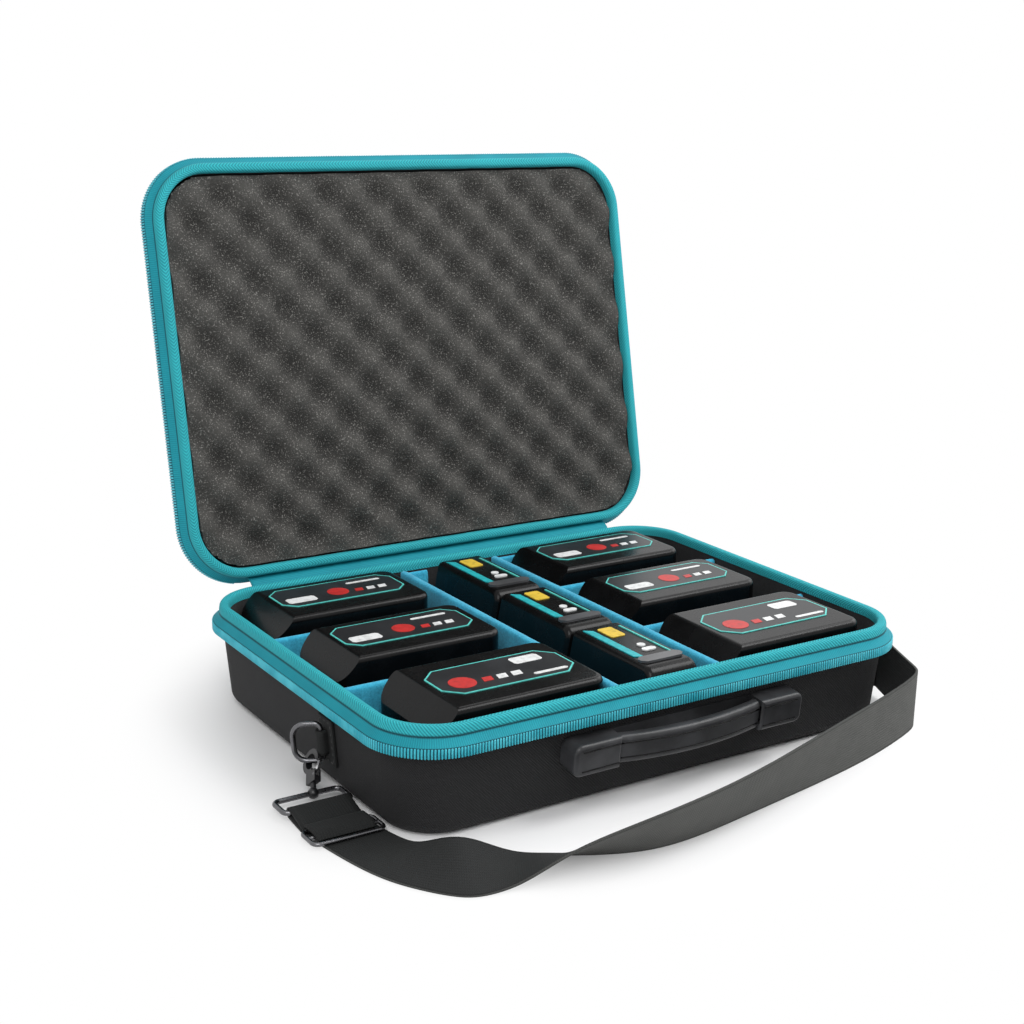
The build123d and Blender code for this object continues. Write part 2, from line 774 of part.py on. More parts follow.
# Along the front the strap rises on edge: its distance out from the rim, its turn and its tilt
front_run = [
    (41.5, 244, 35),
    (57.8, 259, 57),
    (58, 271, 64),
    (52.5, 278, 67),
    (46.7, 280, 72),
    (40.8, 281, 78),
    (34.5, 283, 84),
    (26.5, 285, 88),
]
front_start_x = front_run_start - half_width
front_stop_x = half_width - front_run_stop
front_step = (front_stop_x - front_start_x) / (len(front_run) - 1)

# The strap's inner edge, the way that its other edge lies from it, its tilt and its lift
strap_route = [
    (strap_start_x + strap_width / 2, left_tail_y, 180, 0, 0),
    (12 - half_width, 24.5 - half_depth, 184, 0, 0),
    (13.5 - half_width, 8.5 - half_depth, 212, -5, 3.5),
    (15.5 - half_width, -4 - half_depth, 233, -14, 9.7),
    (19 - half_width, -17.5 - half_depth, 243, -26, 17.5),
    (28 - half_width, -24.5 - half_depth, 243, -26, 17.5),
    (42 - half_width, -24 - half_depth, 241, -13, 9),
    (58 - half_width, -25.5 - half_depth, 240, 3, 0.5),
    (72 - half_width, -32.5 - half_depth, 240, 18, 0),
]
for index, (out, turn, tilt) in enumerate(front_run):
    strap_route.append((front_start_x + index * front_step, -out - half_depth, turn, tilt, 0))
strap_route += [
    (half_width - 35, -17 - half_depth, 290, 89, 0),
    (half_width - 12, -8.5 - half_depth, 298, 90, 0),
    (half_width - 4, -3 - half_depth, 322, 90, 0.5),
    (half_width - 1, 4.5 - half_depth, 345, 90, 1),
    (half_width + 6, 26.5 - half_depth, 353, 90, 3),
    (right_ball.X, right_tail_y, 360, 90, right_loop_z - strap_width / 2),
]


def strap():
    """The shoulder strap, laid on the floor from the left hook round to the right one."""
    middles = []
    widths = []
    for x, y, turn, tilt, lift in strap_route:
        level = math.cos(math.radians(tilt))
        rise = math.sin(math.radians(tilt))
        across_x = math.cos(math.radians(turn)) * level
        across_y = math.sin(math.radians(turn)) * level
        across = Vector(across_x, across_y, rise)
        low = Vector(x, y, lift + floor_lift + strap_wall / 2 * level)
        middles.append(low + across * (strap_width / 2))
        widths.append(across)
    sections = []
    last = len(middles) - 1
    for index, (middle, across) in enumerate(zip(middles, widths)):
        along = middles[min(index + 1, last)] - middles[max(index - 1, 0)]
        if index == 0:
            along = Vector(0, -1, 0)
        if index == last:
            along = Vector(0, 1, 0)
        along = along - across * along.dot(across)
        station = Plane(origin=middle, x_dir=across, z_dir=along)
        sections.append(station * Rectangle(strap_width, strap_wall))
    return loft(sections, ruled=True)


def strap_slider():
    """The wire slider that lies on the strap, with its middle bar."""
    half_x = slider_frame_width / 2
    half_y = slider_frame_length / 2
    corners = [(-half_x, -half_y), (half_x, -half_y), (half_x, half_y), (-half_x, half_y)]
    frame = wire_loop(corners, [slider_corner] * len(corners), slider_wire_radius)
    bar = Rot(0, 90, 0) * Cylinder(slider_wire_radius, slider_frame_width)
    lift = floor_lift + strap_wall + slider_lift + slider_wire_radius
    place_y = left_tail_y - slider_gap - slider_wire_radius - half_y
    return Pos(strap_start_x, place_y, lift) * (frame + bar)


slider_x = hinge_length / 2 + hinge_end_gap + slider_clearance + slider_length / 2
slider_top = base_height - welt_height - tape_drop - slider_clearance
slider_y = half_depth - coil_width / 2
pull_y = slider_y + slider_depth / 2 + ear_reach - pull_eye_radius
pull_z = slider_top - slider_height / 2


def zip_slider(side):
    """A zip slider at the end of the zip, with two ears and the pin for its pull."""
    body = Box(slider_length, slider_depth, slider_height)
    body = fillet(body.edges().filter_by(Axis.Z), coil_round)
    ear = Pos(0, slider_depth / 2, 0) * Box(
        ear_wall, ear_reach, ear_height, align=(Align.CENTER, Align.MIN, Align.CENTER)
    )
    ear_x = pull_eye_width / 2 + slider_clearance + ear_wall / 2
    pin_y = slider_depth / 2 + ear_reach - pull_eye_radius
    pin = Pos(0, pin_y, 0) * Rot(0, 90, 0) * Cylinder(pull_pin_radius, 2 * ear_x)
    whole = body + Pos(ear_x, 0, 0) * ear + Pos(-ear_x, 0, 0) * ear + pin
    return Pos(side * slider_x, slider_y, pull_z) * whole


def zip_pull(side):
    """A zip pull hanging on its slider's pin."""
    eye = Rot(0, 90, 0) * Cylinder(pull_eye_radius, pull_eye_width)
    neck = Box(pull_eye_width, pull_wall, ear_height, align=(Align.CENTER, Align.CENTER, Align.MAX))
    leaf = Pos(0, 0, -ear_height) * Box(
        pull_width, pull_wall, pull_length, align=(Align.CENTER, Align.CENTER, Align.MAX)
    )
    leaf = fillet(leaf.edges().filter_by(Axis.Y), pull_round)
    slot = SlotOverall(pull_slot_length, pull_slot_width, rotation=90)
    slot = Rot(90, 0, 0) * extrude(slot, pull_wall, both=True)
    slot = Pos(0, 0, -ear_height - pull_length + pull_slot_length) * slot
    bore = Rot(0, 90, 0) * Cylinder(pull_pin_radius + pull_pin_clearance, 2 * pull_eye_width)
    return Pos(side * slider_x, pull_y, pull_z) * (eye + neck + leaf - slot - bore)


def hinge_with_bead():
    """The base's hinge leaf, with the corded edge that the lid turns on."""
    return hinge_leaf() + hinge_line(hinge_bead_radius, hinge_length)


def lid_leaf():
    """The lid's hinge leaf, hollowed to clear the corded edge."""
    return hinge_leaf() - hinge_line(hinge_bead_radius + hinge_clearance, 2 * hinge_length)


def pack_set():
    """The nine packs in their places, by name."""
    rows = {
        "front": (front_pack_y, tall_pack_width, tall_pack_height, 0),
        "middle": (middle_pack_y, slim_pack_width, slim_pack_height, middle_left_shift),
        "rear": (rear_pack_y, slim_pack_width, slim_pack_height, rear_left_shift),
    }
    middle_x = pack_inner_x + pack_length / 2
    packs = {}
    for row, (y, width, height, left_shift) in rows.items():
        pack = large_pack(width, height)
        packs[f"left_{row}_pack"] = Pos(-middle_x - left_shift, y, pack_z) * pack
        packs[f"right_{row}_pack"] = Pos(middle_x, y, pack_z) * pack
    first_y = small_front_gap + small_pack_length / 2 - row_wall_y
    for index, row in enumerate(("front", "middle", "rear")):
        y = first_y + index * (small_pack_length + small_pack_spacing)
        packs[f"centre_{row}_pack"] = Pos(small_pack_x, y, pack_z) * small_pack()
    return packs


holes = handle_frame.location * rivet_holes()
nodes = {
    "base_shell": base_place(shell(base_height, base_edge_radius)) - holes,
    "base_lining": base_place(lining(base_height, base_edge_radius)) - holes,
    "base_rim_welt": base_place(welt()),
    "base_zip_tape": base_place(zip_tape()),
    "base_zip_coil": base_place(zip_coil()),
    "base_hinge_leaf": base_place(hinge_with_bead()),
    "lid_shell": lid_place(shell(lid_height, lid_edge_radius)),
    "lid_lining": lid_place(lining(lid_height, lid_edge_radius)),
    "lid_rim_welt": lid_place(welt()),
    "lid_zip_tape": lid_place(zip_tape()),
    "lid_zip_coil": lid_place(zip_coil()),
    "lid_hinge_leaf": lid_place(lid_leaf()),
    "lid_foam": lid_place(foam()),
    "handle_plate": handle_frame.location * handle_plate(),
    "handle_rivets": rivets(),
    "handle_left_cap": handle_frame.location * handle_cap(-1),
    "handle_right_cap": handle_frame.location * handle_cap(1),
    "handle_grip": handle_frame.location * handle_grip(),
    "shoulder_strap": strap(),
    "strap_slider": strap_slider(),
}
for name, side in (("left", -1), ("right", 1)):
    nodes[f"{name}_long_divider"] = long_divider(side)
    nodes[f"{name}_front_divider"] = cross_divider(side, cross_divider_front_y)
    nodes[f"{name}_rear_divider"] = cross_divider(side, cross_divider_rear_y)
    nodes[f"{name}_zip_slider"] = zip_slider(side)
    nodes[f"{name}_zip_pull"] = zip_pull(side)
for name, tab, swing, hook, loop, drop in (
    ("left", left_tab_frame, -ring_swing_left, left_hook_frame, left_loop_frame, left_tail_drop),
    ("right", right_tab_frame, 0, right_hook_frame, right_loop_frame, 0),
):
    nodes[f"{name}_strap_tab"] = tab.location * strap_tab()
    nodes[f"{name}_strap_ring"] = tab.location * strap_ring(swing)
    nodes[f"{name}_snap_hook"] = hook.location * snap_hook(bar_turn(hook, loop.x_dir))
    nodes[f"{name}_hook_gate"] = hook.location * hook_gate()
    nodes[f"{name}_gate_pin"] = hook.location * gate_pin()
    nodes[f"{name}_strap_loop"] = loop.location * end_loop()
    nodes[f"{name}_strap_sleeve"] = loop.location * strap_sleeve(drop)
nodes.update(pack_set())

os.makedirs("parts", exist_ok=True)
for name, piece in nodes.items():
    piece.label = name
    export_step(piece, f"parts/{name}.step")
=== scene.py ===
"""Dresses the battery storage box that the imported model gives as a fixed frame.

Metres, +Z up. The carry handle faces -Y, and the lid is hinged along the rear edge, at +Y.
"""

from __future__ import annotations

import json
import logging
import math
from dataclasses import dataclass
from enum import Enum
from itertools import accumulate
from typing import Any, Iterator, Sequence, Union

import bmesh
import bpy
from bmesh.types import BMEdge, BMesh, BMFace, BMVert
from mathutils import Matrix, Vector

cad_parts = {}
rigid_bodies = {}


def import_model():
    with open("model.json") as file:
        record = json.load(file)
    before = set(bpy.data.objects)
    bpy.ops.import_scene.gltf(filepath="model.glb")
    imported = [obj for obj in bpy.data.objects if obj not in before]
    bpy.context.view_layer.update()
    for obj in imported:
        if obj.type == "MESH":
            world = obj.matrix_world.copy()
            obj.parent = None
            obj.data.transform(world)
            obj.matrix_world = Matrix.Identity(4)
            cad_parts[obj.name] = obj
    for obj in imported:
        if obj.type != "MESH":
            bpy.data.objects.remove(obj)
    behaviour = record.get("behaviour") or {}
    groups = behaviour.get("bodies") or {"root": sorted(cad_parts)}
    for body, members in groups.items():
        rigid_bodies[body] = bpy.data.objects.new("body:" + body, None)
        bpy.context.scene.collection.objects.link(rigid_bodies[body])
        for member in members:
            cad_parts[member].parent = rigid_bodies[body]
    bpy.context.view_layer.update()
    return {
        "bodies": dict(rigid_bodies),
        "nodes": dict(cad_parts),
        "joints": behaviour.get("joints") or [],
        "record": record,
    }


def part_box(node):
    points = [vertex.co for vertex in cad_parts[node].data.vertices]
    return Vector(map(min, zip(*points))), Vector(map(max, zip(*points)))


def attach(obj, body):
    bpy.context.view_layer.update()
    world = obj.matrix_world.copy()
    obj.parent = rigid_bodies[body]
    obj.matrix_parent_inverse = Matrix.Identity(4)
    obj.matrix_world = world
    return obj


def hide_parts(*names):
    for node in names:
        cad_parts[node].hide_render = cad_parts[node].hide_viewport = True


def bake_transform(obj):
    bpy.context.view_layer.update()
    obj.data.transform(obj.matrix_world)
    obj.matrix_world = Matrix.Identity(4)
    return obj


log = logging.getLogger("battery_box")

Colour = tuple[float, float, float]
Point = tuple[float, float]
Triple = tuple[float, float, float]
Sockets = dict[str, Any]
Operand = Union["Wire", float]
RIGHT, REAR, UP = (Vector(way) for way in ((1, 0, 0), (0, 1, 0), (0, 0, 1)))
MERGE = 1e-6
QUARTER = math.pi / 2
SIDES = (("left", -1), ("right", 1))


def of_kind(items: Sequence[Any], kind: type) -> list[Any]:
    """The items of one kind in a bmesh operator's result."""
    return [item for item in items if isinstance(item, kind)]


def frame_of(origin: Vector, *axes: Vector) -> Matrix:
    """The matrix of a frame, from its origin and its three axes."""
    return Matrix.Translation(origin) @ Matrix(axes).transposed().to_4x4()


def ease(mesh: BMesh, edges: Sequence[BMEdge], offset: float, segments: int) -> None:
    """Bevel edges."""
    sizes = {"offset": offset, "segments": segments, "profile": 0.5}
    bmesh.ops.bevel(mesh, geom=edges, affect="EDGES", material=-1, **sizes)


def to_data(name: str, mesh: BMesh) -> bpy.types.Mesh:
    """Turn a finished bmesh into mesh data.

    Args:
        name: The data's name.
        mesh: The bmesh, which is freed.

    Returns:
        The new mesh data.
    """
    data = bpy.data.meshes.new(name)
    mesh.to_mesh(data)
    mesh.free()
    return data


def stand(name: str, data: bpy.types.ID) -> bpy.types.Object:
    """Put a new object in the scene, at the origin.

    Args:
        name: The object's name.
        data: The mesh, lamp or camera that it holds.

    Returns:
        The new object.
    """
    made = bpy.data.objects.new(name, data)
    bpy.context.scene.collection.objects.link(made)
    return made


class Wire:
    """A shader socket that joins in arithmetic, with one Math node for each step."""

    def __init__(self, board: Board, socket: bpy.types.NodeSocket) -> None:
        """Hold a socket and the board that it is on."""
        self.board = board
        self.socket = socket

    def __add__(self, other: Operand) -> Wire:
        """This value plus another."""
        return self.board.calc("ADD", self, other)

    def __sub__(self, other: Operand) -> Wire:
        """This value less another."""
        return self.board.calc("SUBTRACT", self, other)

    def __rsub__(self, other: Operand) -> Wire:
        """Another value less this one."""
        return self.board.calc("SUBTRACT", other, self)

    def __mul__(self, other: Operand) -> Wire:
        """This value times another."""
        return self.board.calc("MULTIPLY", self, other)

    def __abs__(self) -> Wire:
        """This value without its sign."""
        return self.board.calc("ABSOLUTE", self)

    __radd__ = __add__
    __rmul__ = __mul__

    def wave(self, pitch: float) -> Wire:
        """A smooth wave from 0 to 1 that repeats at a pitch along this length."""
        return self.board.calc("SINE", self * (math.tau / pitch)) * 0.5 + 0.5

    def zigzag(self, pitch: float) -> Wire:
        """A straight rise and fall from 0 to half a pitch along this length."""
        return self.board.calc("PINGPONG", self, pitch / 2)

    def ramp(self, low: float, high: float) -> Wire:
        """A smooth step from 0 at low to 1 at high.

        Args:
            low: Where the step starts.
            high: Where it ends.

        Returns:
            The step as a wire.
        """
        settings = {"interpolation_type": "SMOOTHSTEP"}
        inputs = {"Value": self, "From Min": low, "From Max": high}
        return self.board.node("ShaderNodeMapRange", settings, inputs)


class Board:
    """The node tree of one finish, or of the sky."""

    # A Mix node's two colour inputs and its colour output, by number.
    COLOUR_SOCKETS = (6, 7)
    COLOUR_RESULT = 2

    def __init__(self, name: str, world: bpy.types.World | None = None) -> None:
        """Start a material with a Principled shader, or take over a world's Background.

        Args:
            name: The new material's name.
            world: The world to take over, for the sky.
        """
        self.material = world or bpy.data.materials.new(name)
        self.material.use_nodes = True
        self.tree = self.material.node_tree
        self.shader = self.tree.nodes["Background" if world else "Principled BSDF"]

    def node(
        self,
        kind: str,
        settings: dict[str, Any] | None = None,
        inputs: dict[Any, Any] | None = None,
        output: int | str = 0,
    ) -> Wire:
        """Add a node, set it up and join its sockets.

        Args:
            kind: The node's type.
            settings: The node's own properties, set first.
            inputs: A value or a wire for each named or numbered socket.
            output: The socket to carry on from.

        Returns:
            The output as a wire.
        """
        made = self.tree.nodes.new(kind)
        for name, value in (settings or {}).items():
            setattr(made, name, value)
        for key, value in (inputs or {}).items():
            self.plug(made.inputs[key], value)
        return Wire(self, made.outputs[output])

    def plug(self, socket: bpy.types.NodeSocket, value: Any) -> None:
        """Link a wire to a socket, or set the socket's own value.

        Args:
            socket: The socket to feed.
            value: A wire, a colour or a number.
        """
        if isinstance(value, Wire):
            self.tree.links.new(value.socket, socket)
        elif isinstance(value, tuple) and socket.type == "RGBA":
            socket.default_value = (*value, 1.0)
        else:
            socket.default_value = value

    def calc(self, operation: str, *values: Operand) -> Wire:
        """One Math node on the given values."""
        return self.node("ShaderNodeMath", {"operation": operation}, dict(enumerate(values)))

    def vector(self, operation: str, *values: Any) -> Wire:
        """One Vector Math node that gives a number."""
        inputs = dict(enumerate(values))
        return self.node("ShaderNodeVectorMath", {"operation": operation}, inputs, "Value")

    def place(self) -> Wire:
        """The point on the piece, in the frame's metres."""
        return self.node("ShaderNodeTexCoord", output="Object")

    def along(self, direction: Sequence[float], origin: Sequence[float] = (0, 0, 0)) -> Wire:
        """How far the point lies along a direction from an origin."""
        reach = self.vector("DOT_PRODUCT", self.place(), tuple(direction))
        return reach - Vector(origin).dot(Vector(direction))

    def ribbon(self) -> tuple[Wire, Wire]:
        """The way across and along a strip, from its own map, in metres.

        Returns:
            The wire across the strip and the wire along it.
        """
        spot = self.node("ShaderNodeUVMap", {"uv_map": "strip"})
        parts = self.node("ShaderNodeSeparateXYZ", None, {0: spot})
        return parts, Wire(self, parts.socket.node.outputs[1])

    def seen(self) -> Wire:
        """1 where the camera, a reflection or a clear piece looks at the surface, and otherwise 0.

        Returns:
            The 1 or 0 as a wire.
        """
        camera = self.node("ShaderNodeLightPath", output="Is Camera Ray")
        rays = camera.socket.node.outputs
        mirrored = self.calc("MAXIMUM", camera, Wire(self, rays["Is Glossy Ray"]))
        return self.calc("MAXIMUM", mirrored, Wire(self, rays["Is Transmission Ray"]))

    def noise(self, size: float, detail: float = 3.0, stretch: Triple = (1, 1, 1)) -> Wire:
        """Soft noise from 0 to 1, with blotches of a size in metres."""
        spot = self.node("ShaderNodeMapping", None, {"Vector": self.place(), "Scale": stretch})
        return self.node("ShaderNodeTexNoise", None, {"Vector": spot, "Scale": 1 / size, "Detail": detail})

    def cells(self, size: float) -> Wire:
        """The distance to the nearest of scattered points, with cells of a size in metres."""
        return self.node("ShaderNodeTexVoronoi", None, {"Vector": self.place(), "Scale": 1 / size})

    def mix(self, share: Operand, first: Any, second: Any) -> Wire:
        """A colour between two, by a share from 0 to 1.

        Args:
            share: The second colour's share.
            first: The colour at 0.
            second: The colour at 1.

        Returns:
            The colour as a wire.
        """
        low, high = self.COLOUR_SOCKETS
        inputs = {0: share, low: first, high: second}
        return self.node("ShaderNodeMix", {"data_type": "RGBA"}, inputs, self.COLOUR_RESULT)

    def bump(self, height: Wire, depth: float, strength: float) -> Wire:
        """A bumped normal from a height of 0 to 1, with a depth in metres."""
        inputs = {"Height": height, "Distance": depth, "Strength": strength}
        return self.node("ShaderNodeBump", None, inputs)

    def surface(self, **sockets: Any) -> bpy.types.Material:
        """Join values to the shader's sockets, named in small letters, and hand over the material.

        Args:
            sockets: A value or a wire for each socket.

        Returns:
            The finished material.
        """
        for name, value in sockets.items():
            label = name.replace("_", " ").title().replace("Ior", "IOR")
            self.plug(self.shader.inputs[label], value)
        return self.material


class Finish:
    """A surface's look: its name, and what feeds the shader."""

    name: str

    def sockets(self, board: Board) -> Sockets:
        """The values and wires for the shader, by socket."""
        raise NotImplementedError

    def make(self) -> bpy.types.Material:
        """Build the material."""
        board = Board(self.name)
        return board.surface(**self.sockets(board))


@dataclass(frozen=True)
class TwillCloth(Finish):
    """Tightly woven cloth with a fine diagonal rib, bonded to a moulded shell."""

    name: str
    half_run: Point
    corner: float
    origin: Triple
    rear: Triple
    rise: Triple
    dark: Colour = (0.0035, 0.0035, 0.004)
    light: Colour = (0.020, 0.020, 0.0215)
    rib: float = 0.0019
    thread: float = 0.0008
    dust: float = 0.05
    depth: float = 0.0004

    def around(self, board: Board) -> Wire:
        """The way round the case's outline from the middle of its front.

        Args:
            board: The finish's node tree.

        Returns:
            The length as a wire, below 0 on the left.
        """
        wide, deep = self.half_run
        side = board.along(RIGHT)
        depth = board.along(self.rear, self.origin)
        across = abs(side)
        near = board.calc("MINIMUM", across, wide)
        along = board.calc("MAXIMUM", board.calc("MINIMUM", depth, deep), -deep)
        turn = board.calc("ARCTAN2", across - near, along - depth) * self.corner
        back = board.calc("GREATER_THAN", depth, deep)
        run = near + back * (wide - near) * 2 + along + turn + deep
        return run * board.calc("SIGN", side)

    def sockets(self, board: Board) -> Sockets:
        """Ribs that climb the wall at a slant, under a little dust.

        Args:
            board: The finish's node tree.

        Returns:
            The values and wires for the shader, by socket.
        """
        around = self.around(board)
        rise = board.along(self.rise, self.origin)
        dust = board.noise(self.dust, detail=5)
        weave = (around + rise).wave(self.rib) * 0.75 + (around - rise).wave(self.thread) * 0.25
        return {
            "base_color": board.mix(weave * (dust * 0.5 + 0.6), self.dark, self.light),
            "roughness": 0.66 + dust * 0.2,
            "normal": board.bump(weave, self.depth, strength=0.75),
            "specular_ior_level": 0.35,
        }


@dataclass(frozen=True)
class BrushedCloth(Finish):
    """Short-napped cloth: felt, loop or lining."""

    name: str
    dark: Colour
    light: Colour
    sheen: float = 0.2
    nap: float = 0.0011
    patch: float = 0.018
    lie: float = 0.004
    depth: float = 0.0006

    def sockets(self, board: Board) -> Sockets:
        """Fine fibres, brushed one way and another in patches.

        Args:
            board: The finish's node tree.

        Returns:
            The values and wires for the shader, by socket.
        """
        fibre = board.noise(self.nap, detail=6)
        lie = board.noise(self.lie, detail=4, stretch=(1, 1, 0.35))
        share = fibre * 0.55 + board.noise(self.patch) * 0.25 + lie * 0.2
        return {
            "base_color": board.mix(share.ramp(0.3, 0.72), self.dark, self.light),
            "roughness": 0.93,
            "normal": board.bump(fibre * 0.7 + lie * 0.3, self.depth, strength=0.55),
            "sheen_weight": self.sheen,
            "sheen_roughness": 0.5,
        }


@dataclass(frozen=True)
class HerringboneBinding(Finish):
    """Woven binding whose ribs turn back and forth across its width."""

    name: str = "rim_binding"
    # Painted shade for the groove at the welt's foot.
    groove_shade: Colour = (0.002, 0.050, 0.066)
    dark: Colour = (0.004, 0.150, 0.190)
    light: Colour = (0.040, 0.520, 0.580)
    rib: float = 0.0023
    band: float = 0.0150
    foot: float = 0.0016
    patch: float = 0.04
    depth: float = 0.0004

    def sockets(self, board: Board) -> Sockets:
        """Slanted ribs with a line of painted shade at the foot, where the welt meets the seam's groove.

        Args:
            board: The finish's node tree.

        Returns:
            The values and wires for the shader, by socket.
        """
        across, length = board.ribbon()
        turn = across.zigzag(self.band)
        weave = (length + turn).wave(self.rib) * 0.8 + (length - turn).wave(self.rib / 3) * 0.2
        tone = board.noise(self.patch)
        cloth = board.mix(weave * 0.8 + tone * 0.3, self.dark, self.light)
        return {
            # groove_shade is painted shade along the welt's foot, where it dips into the seam's groove.
            "base_color": board.mix(across.ramp(0, self.foot), self.groove_shade, cloth),
            "roughness": 0.72 + tone * 0.15,
            "normal": board.bump(weave, self.depth, strength=0.7),
            "specular_ior_level": 0.3,
        }


@dataclass(frozen=True)
class TapeWeave(Finish):
    """Flat zip tape with fine ribs across it."""

    name: str = "zip_tape"
    # How strongly the painted groove shade darkens the tape's edges.
    groove_shade_share: float = 0.85
    groove_shade: Colour = (0.001, 0.030, 0.045)
    dark: Colour = (0.002, 0.150, 0.200)
    light: Colour = (0.010, 0.360, 0.440)
    rib: float = 0.0014
    middle: float = 0.0036
    edges: Point = (0.0024, 0.0034)
    patch: float = 0.03
    depth: float = 0.0002

    def sockets(self, board: Board) -> Sockets:
        """Ribs across the tape, with painted shade in the grooves along both its edges.

        Args:
            board: The finish's node tree.

        Returns:
            The values and wires for the shader, by socket.
        """
        across, length = board.ribbon()
        rib = length.wave(self.rib)
        cloth = board.mix(rib * 0.35 + board.noise(self.patch, detail=4) * 0.65, self.dark, self.light)
        # Painted shade in the grooves along both edges of the tape.
        groove_shade_mask = abs(across - self.middle).ramp(*self.edges)
        return {
            "base_color": board.mix(groove_shade_mask * self.groove_shade_share, cloth, self.groove_shade),
            "roughness": 0.7,
            "normal": board.bump(rib, self.depth, strength=0.6),
            "specular_ior_level": 0.3,
        }


@dataclass(frozen=True)
class MouldedPlastic(Finish):
    """Injection-moulded plastic with a fine spark-eroded grain and faint handling marks."""

    name: str
    dark: Colour
    light: Colour
    roughness: float
    coat: float = 0.0
    gloss: float = 0.30
    grain: float = 0.0009
    depth: float = 0.00008
    smear: float = 0.022

    def sockets(self, board: Board) -> Sockets:
        """Smears of tone over an even grain.

        Args:
            board: The finish's node tree.

        Returns:
            The values and wires for the shader, by socket.
        """
        smear = board.noise(self.smear, detail=5)
        return {
            "base_color": board.mix(smear.ramp(0.3, 0.75), self.dark, self.light),
            "roughness": self.roughness - 0.06 + smear * 0.14,
            "normal": board.bump(board.noise(self.grain, detail=2), self.depth, strength=0.6),
            "coat_weight": self.coat,
            "coat_roughness": 0.10,
            "specular_ior_level": self.gloss,
        }


@dataclass(frozen=True)
class PlatedMetal(Finish):
    """Plated or coated metal with drawn streaks and rubbed patches."""

    name: str
    dark: Colour
    light: Colour
    metallic: float
    roughness: float
    streak: float = 0.0016
    rub: float = 0.007
    depth: float = 0.00003

    def sockets(self, board: Board) -> Sockets:
        """Streaks that run up and down, and rubbed tone.

        Args:
            board: The finish's node tree.

        Returns:
            The values and wires for the shader, by socket.
        """
        streak = board.noise(self.streak, detail=4, stretch=(1, 1, 0.2))
        tone = board.noise(self.rub, detail=4) * 0.7 + streak * 0.3
        return {
            "base_color": board.mix(tone, self.dark, self.light),
            "metallic": self.metallic,
            "roughness": self.roughness + streak * 0.14 - 0.05,
            "normal": board.bump(streak, self.depth, strength=0.5),
        }


@dataclass(frozen=True)
class CellFoam(Finish):
    """Open-cell foam with painted shade in its pits, painted light on its peaks and small pale flecks."""

    name: str
    origin: Triple
    rise: Triple
    # Painted shade for the pits and painted light for the peaks.
    pit_shade: Colour = (0.022, 0.0215, 0.0205)
    peak_light: Colour = (0.080, 0.078, 0.073)
    fleck: Colour = (0.36, 0.35, 0.33)
    levels: Point = (-0.0115, -0.0025)
    pore: float = 0.0022
    grain: float = 0.0013
    cloud: float = 0.03
    spark: float = 0.0009
    depth: float = 0.0009

    def sockets(self, board: Board) -> Sockets:
        """Pale flecks over painted light on the ridges and painted shade in the pits.

        Args:
            board: The finish's node tree.

        Returns:
            The values and wires for the shader, by socket.
        """
        grain = board.noise(self.grain, detail=6)
        spark = board.noise(self.spark, detail=2).ramp(0.58, 0.68)
        # Painted shade in the pits and painted light on the peaks, by height in the lid's frame.
        height_light = board.along(self.rise, self.origin).ramp(*self.levels)
        share = height_light * 0.58 + grain.ramp(0.36, 0.70) * 0.24 + board.noise(self.cloud) * 0.18
        return {
            "base_color": board.mix(spark * 0.55, board.mix(share, self.pit_shade, self.peak_light), self.fleck),
            "roughness": 0.95,
            "normal": board.bump(board.cells(self.pore) * 0.6 + grain * 0.4, self.depth, strength=0.8),
            "specular_ior_level": 0.2,
        }


@dataclass(frozen=True)
class WebbingWeave(Finish):
    """Flat woven webbing with a rib across it and a firm edge."""

    name: str = "strap_webbing"
    dark: Colour = (0.0045, 0.0050, 0.0050)
    light: Colour = (0.017, 0.0185, 0.0185)
    width: float = 0.038
    rib: float = 0.0013
    thread: float = 0.0018
    edges: Point = (0.455, 0.475)
    wear: float = 0.012
    depth: float = 0.0003

    def sockets(self, board: Board) -> Sockets:
        """Ribs that waver from thread to thread, dark along both edges.

        Args:
            board: The finish's node tree.

        Returns:
            The values and wires for the shader, by socket.
        """
        across, length = board.ribbon()
        warp = across.wave(self.thread)
        weave = (length + warp * (self.rib * 0.5)).wave(self.rib) * 0.6 + warp * 0.4
        edge = abs(across - self.width / 2).ramp(*(self.width * share for share in self.edges))
        colour = board.mix(weave * 0.7 + board.noise(self.wear, detail=5) * 0.35, self.dark, self.light)
        return {
            "base_color": board.mix(edge * 0.6, colour, self.dark),
            "roughness": 0.82,
            "normal": board.bump(weave, self.depth, strength=0.7),
            "specular_ior_level": 0.35,
        }


@dataclass(frozen=True)
class PrintedInk(Finish):
    """A thin layer of ink or moulded-in colour on a pack."""

    name: str
    colour: Colour
    roughness: float = 0.4
    wear: float = 0.0035
    worn_share: float = 0.72

    def sockets(self, board: Board) -> Sockets:
        """A flat colour, a little worn.

        Args:
            board: The finish's node tree.

        Returns:
            The values and wires for the shader, by socket.
        """
        wear = board.noise(self.wear, detail=4)
        worn = tuple(part * self.worn_share for part in self.colour)
        return {
            "base_color": board.mix(wear.ramp(0.25, 0.6), worn, self.colour),
            "roughness": self.roughness + wear * 0.12,
        }


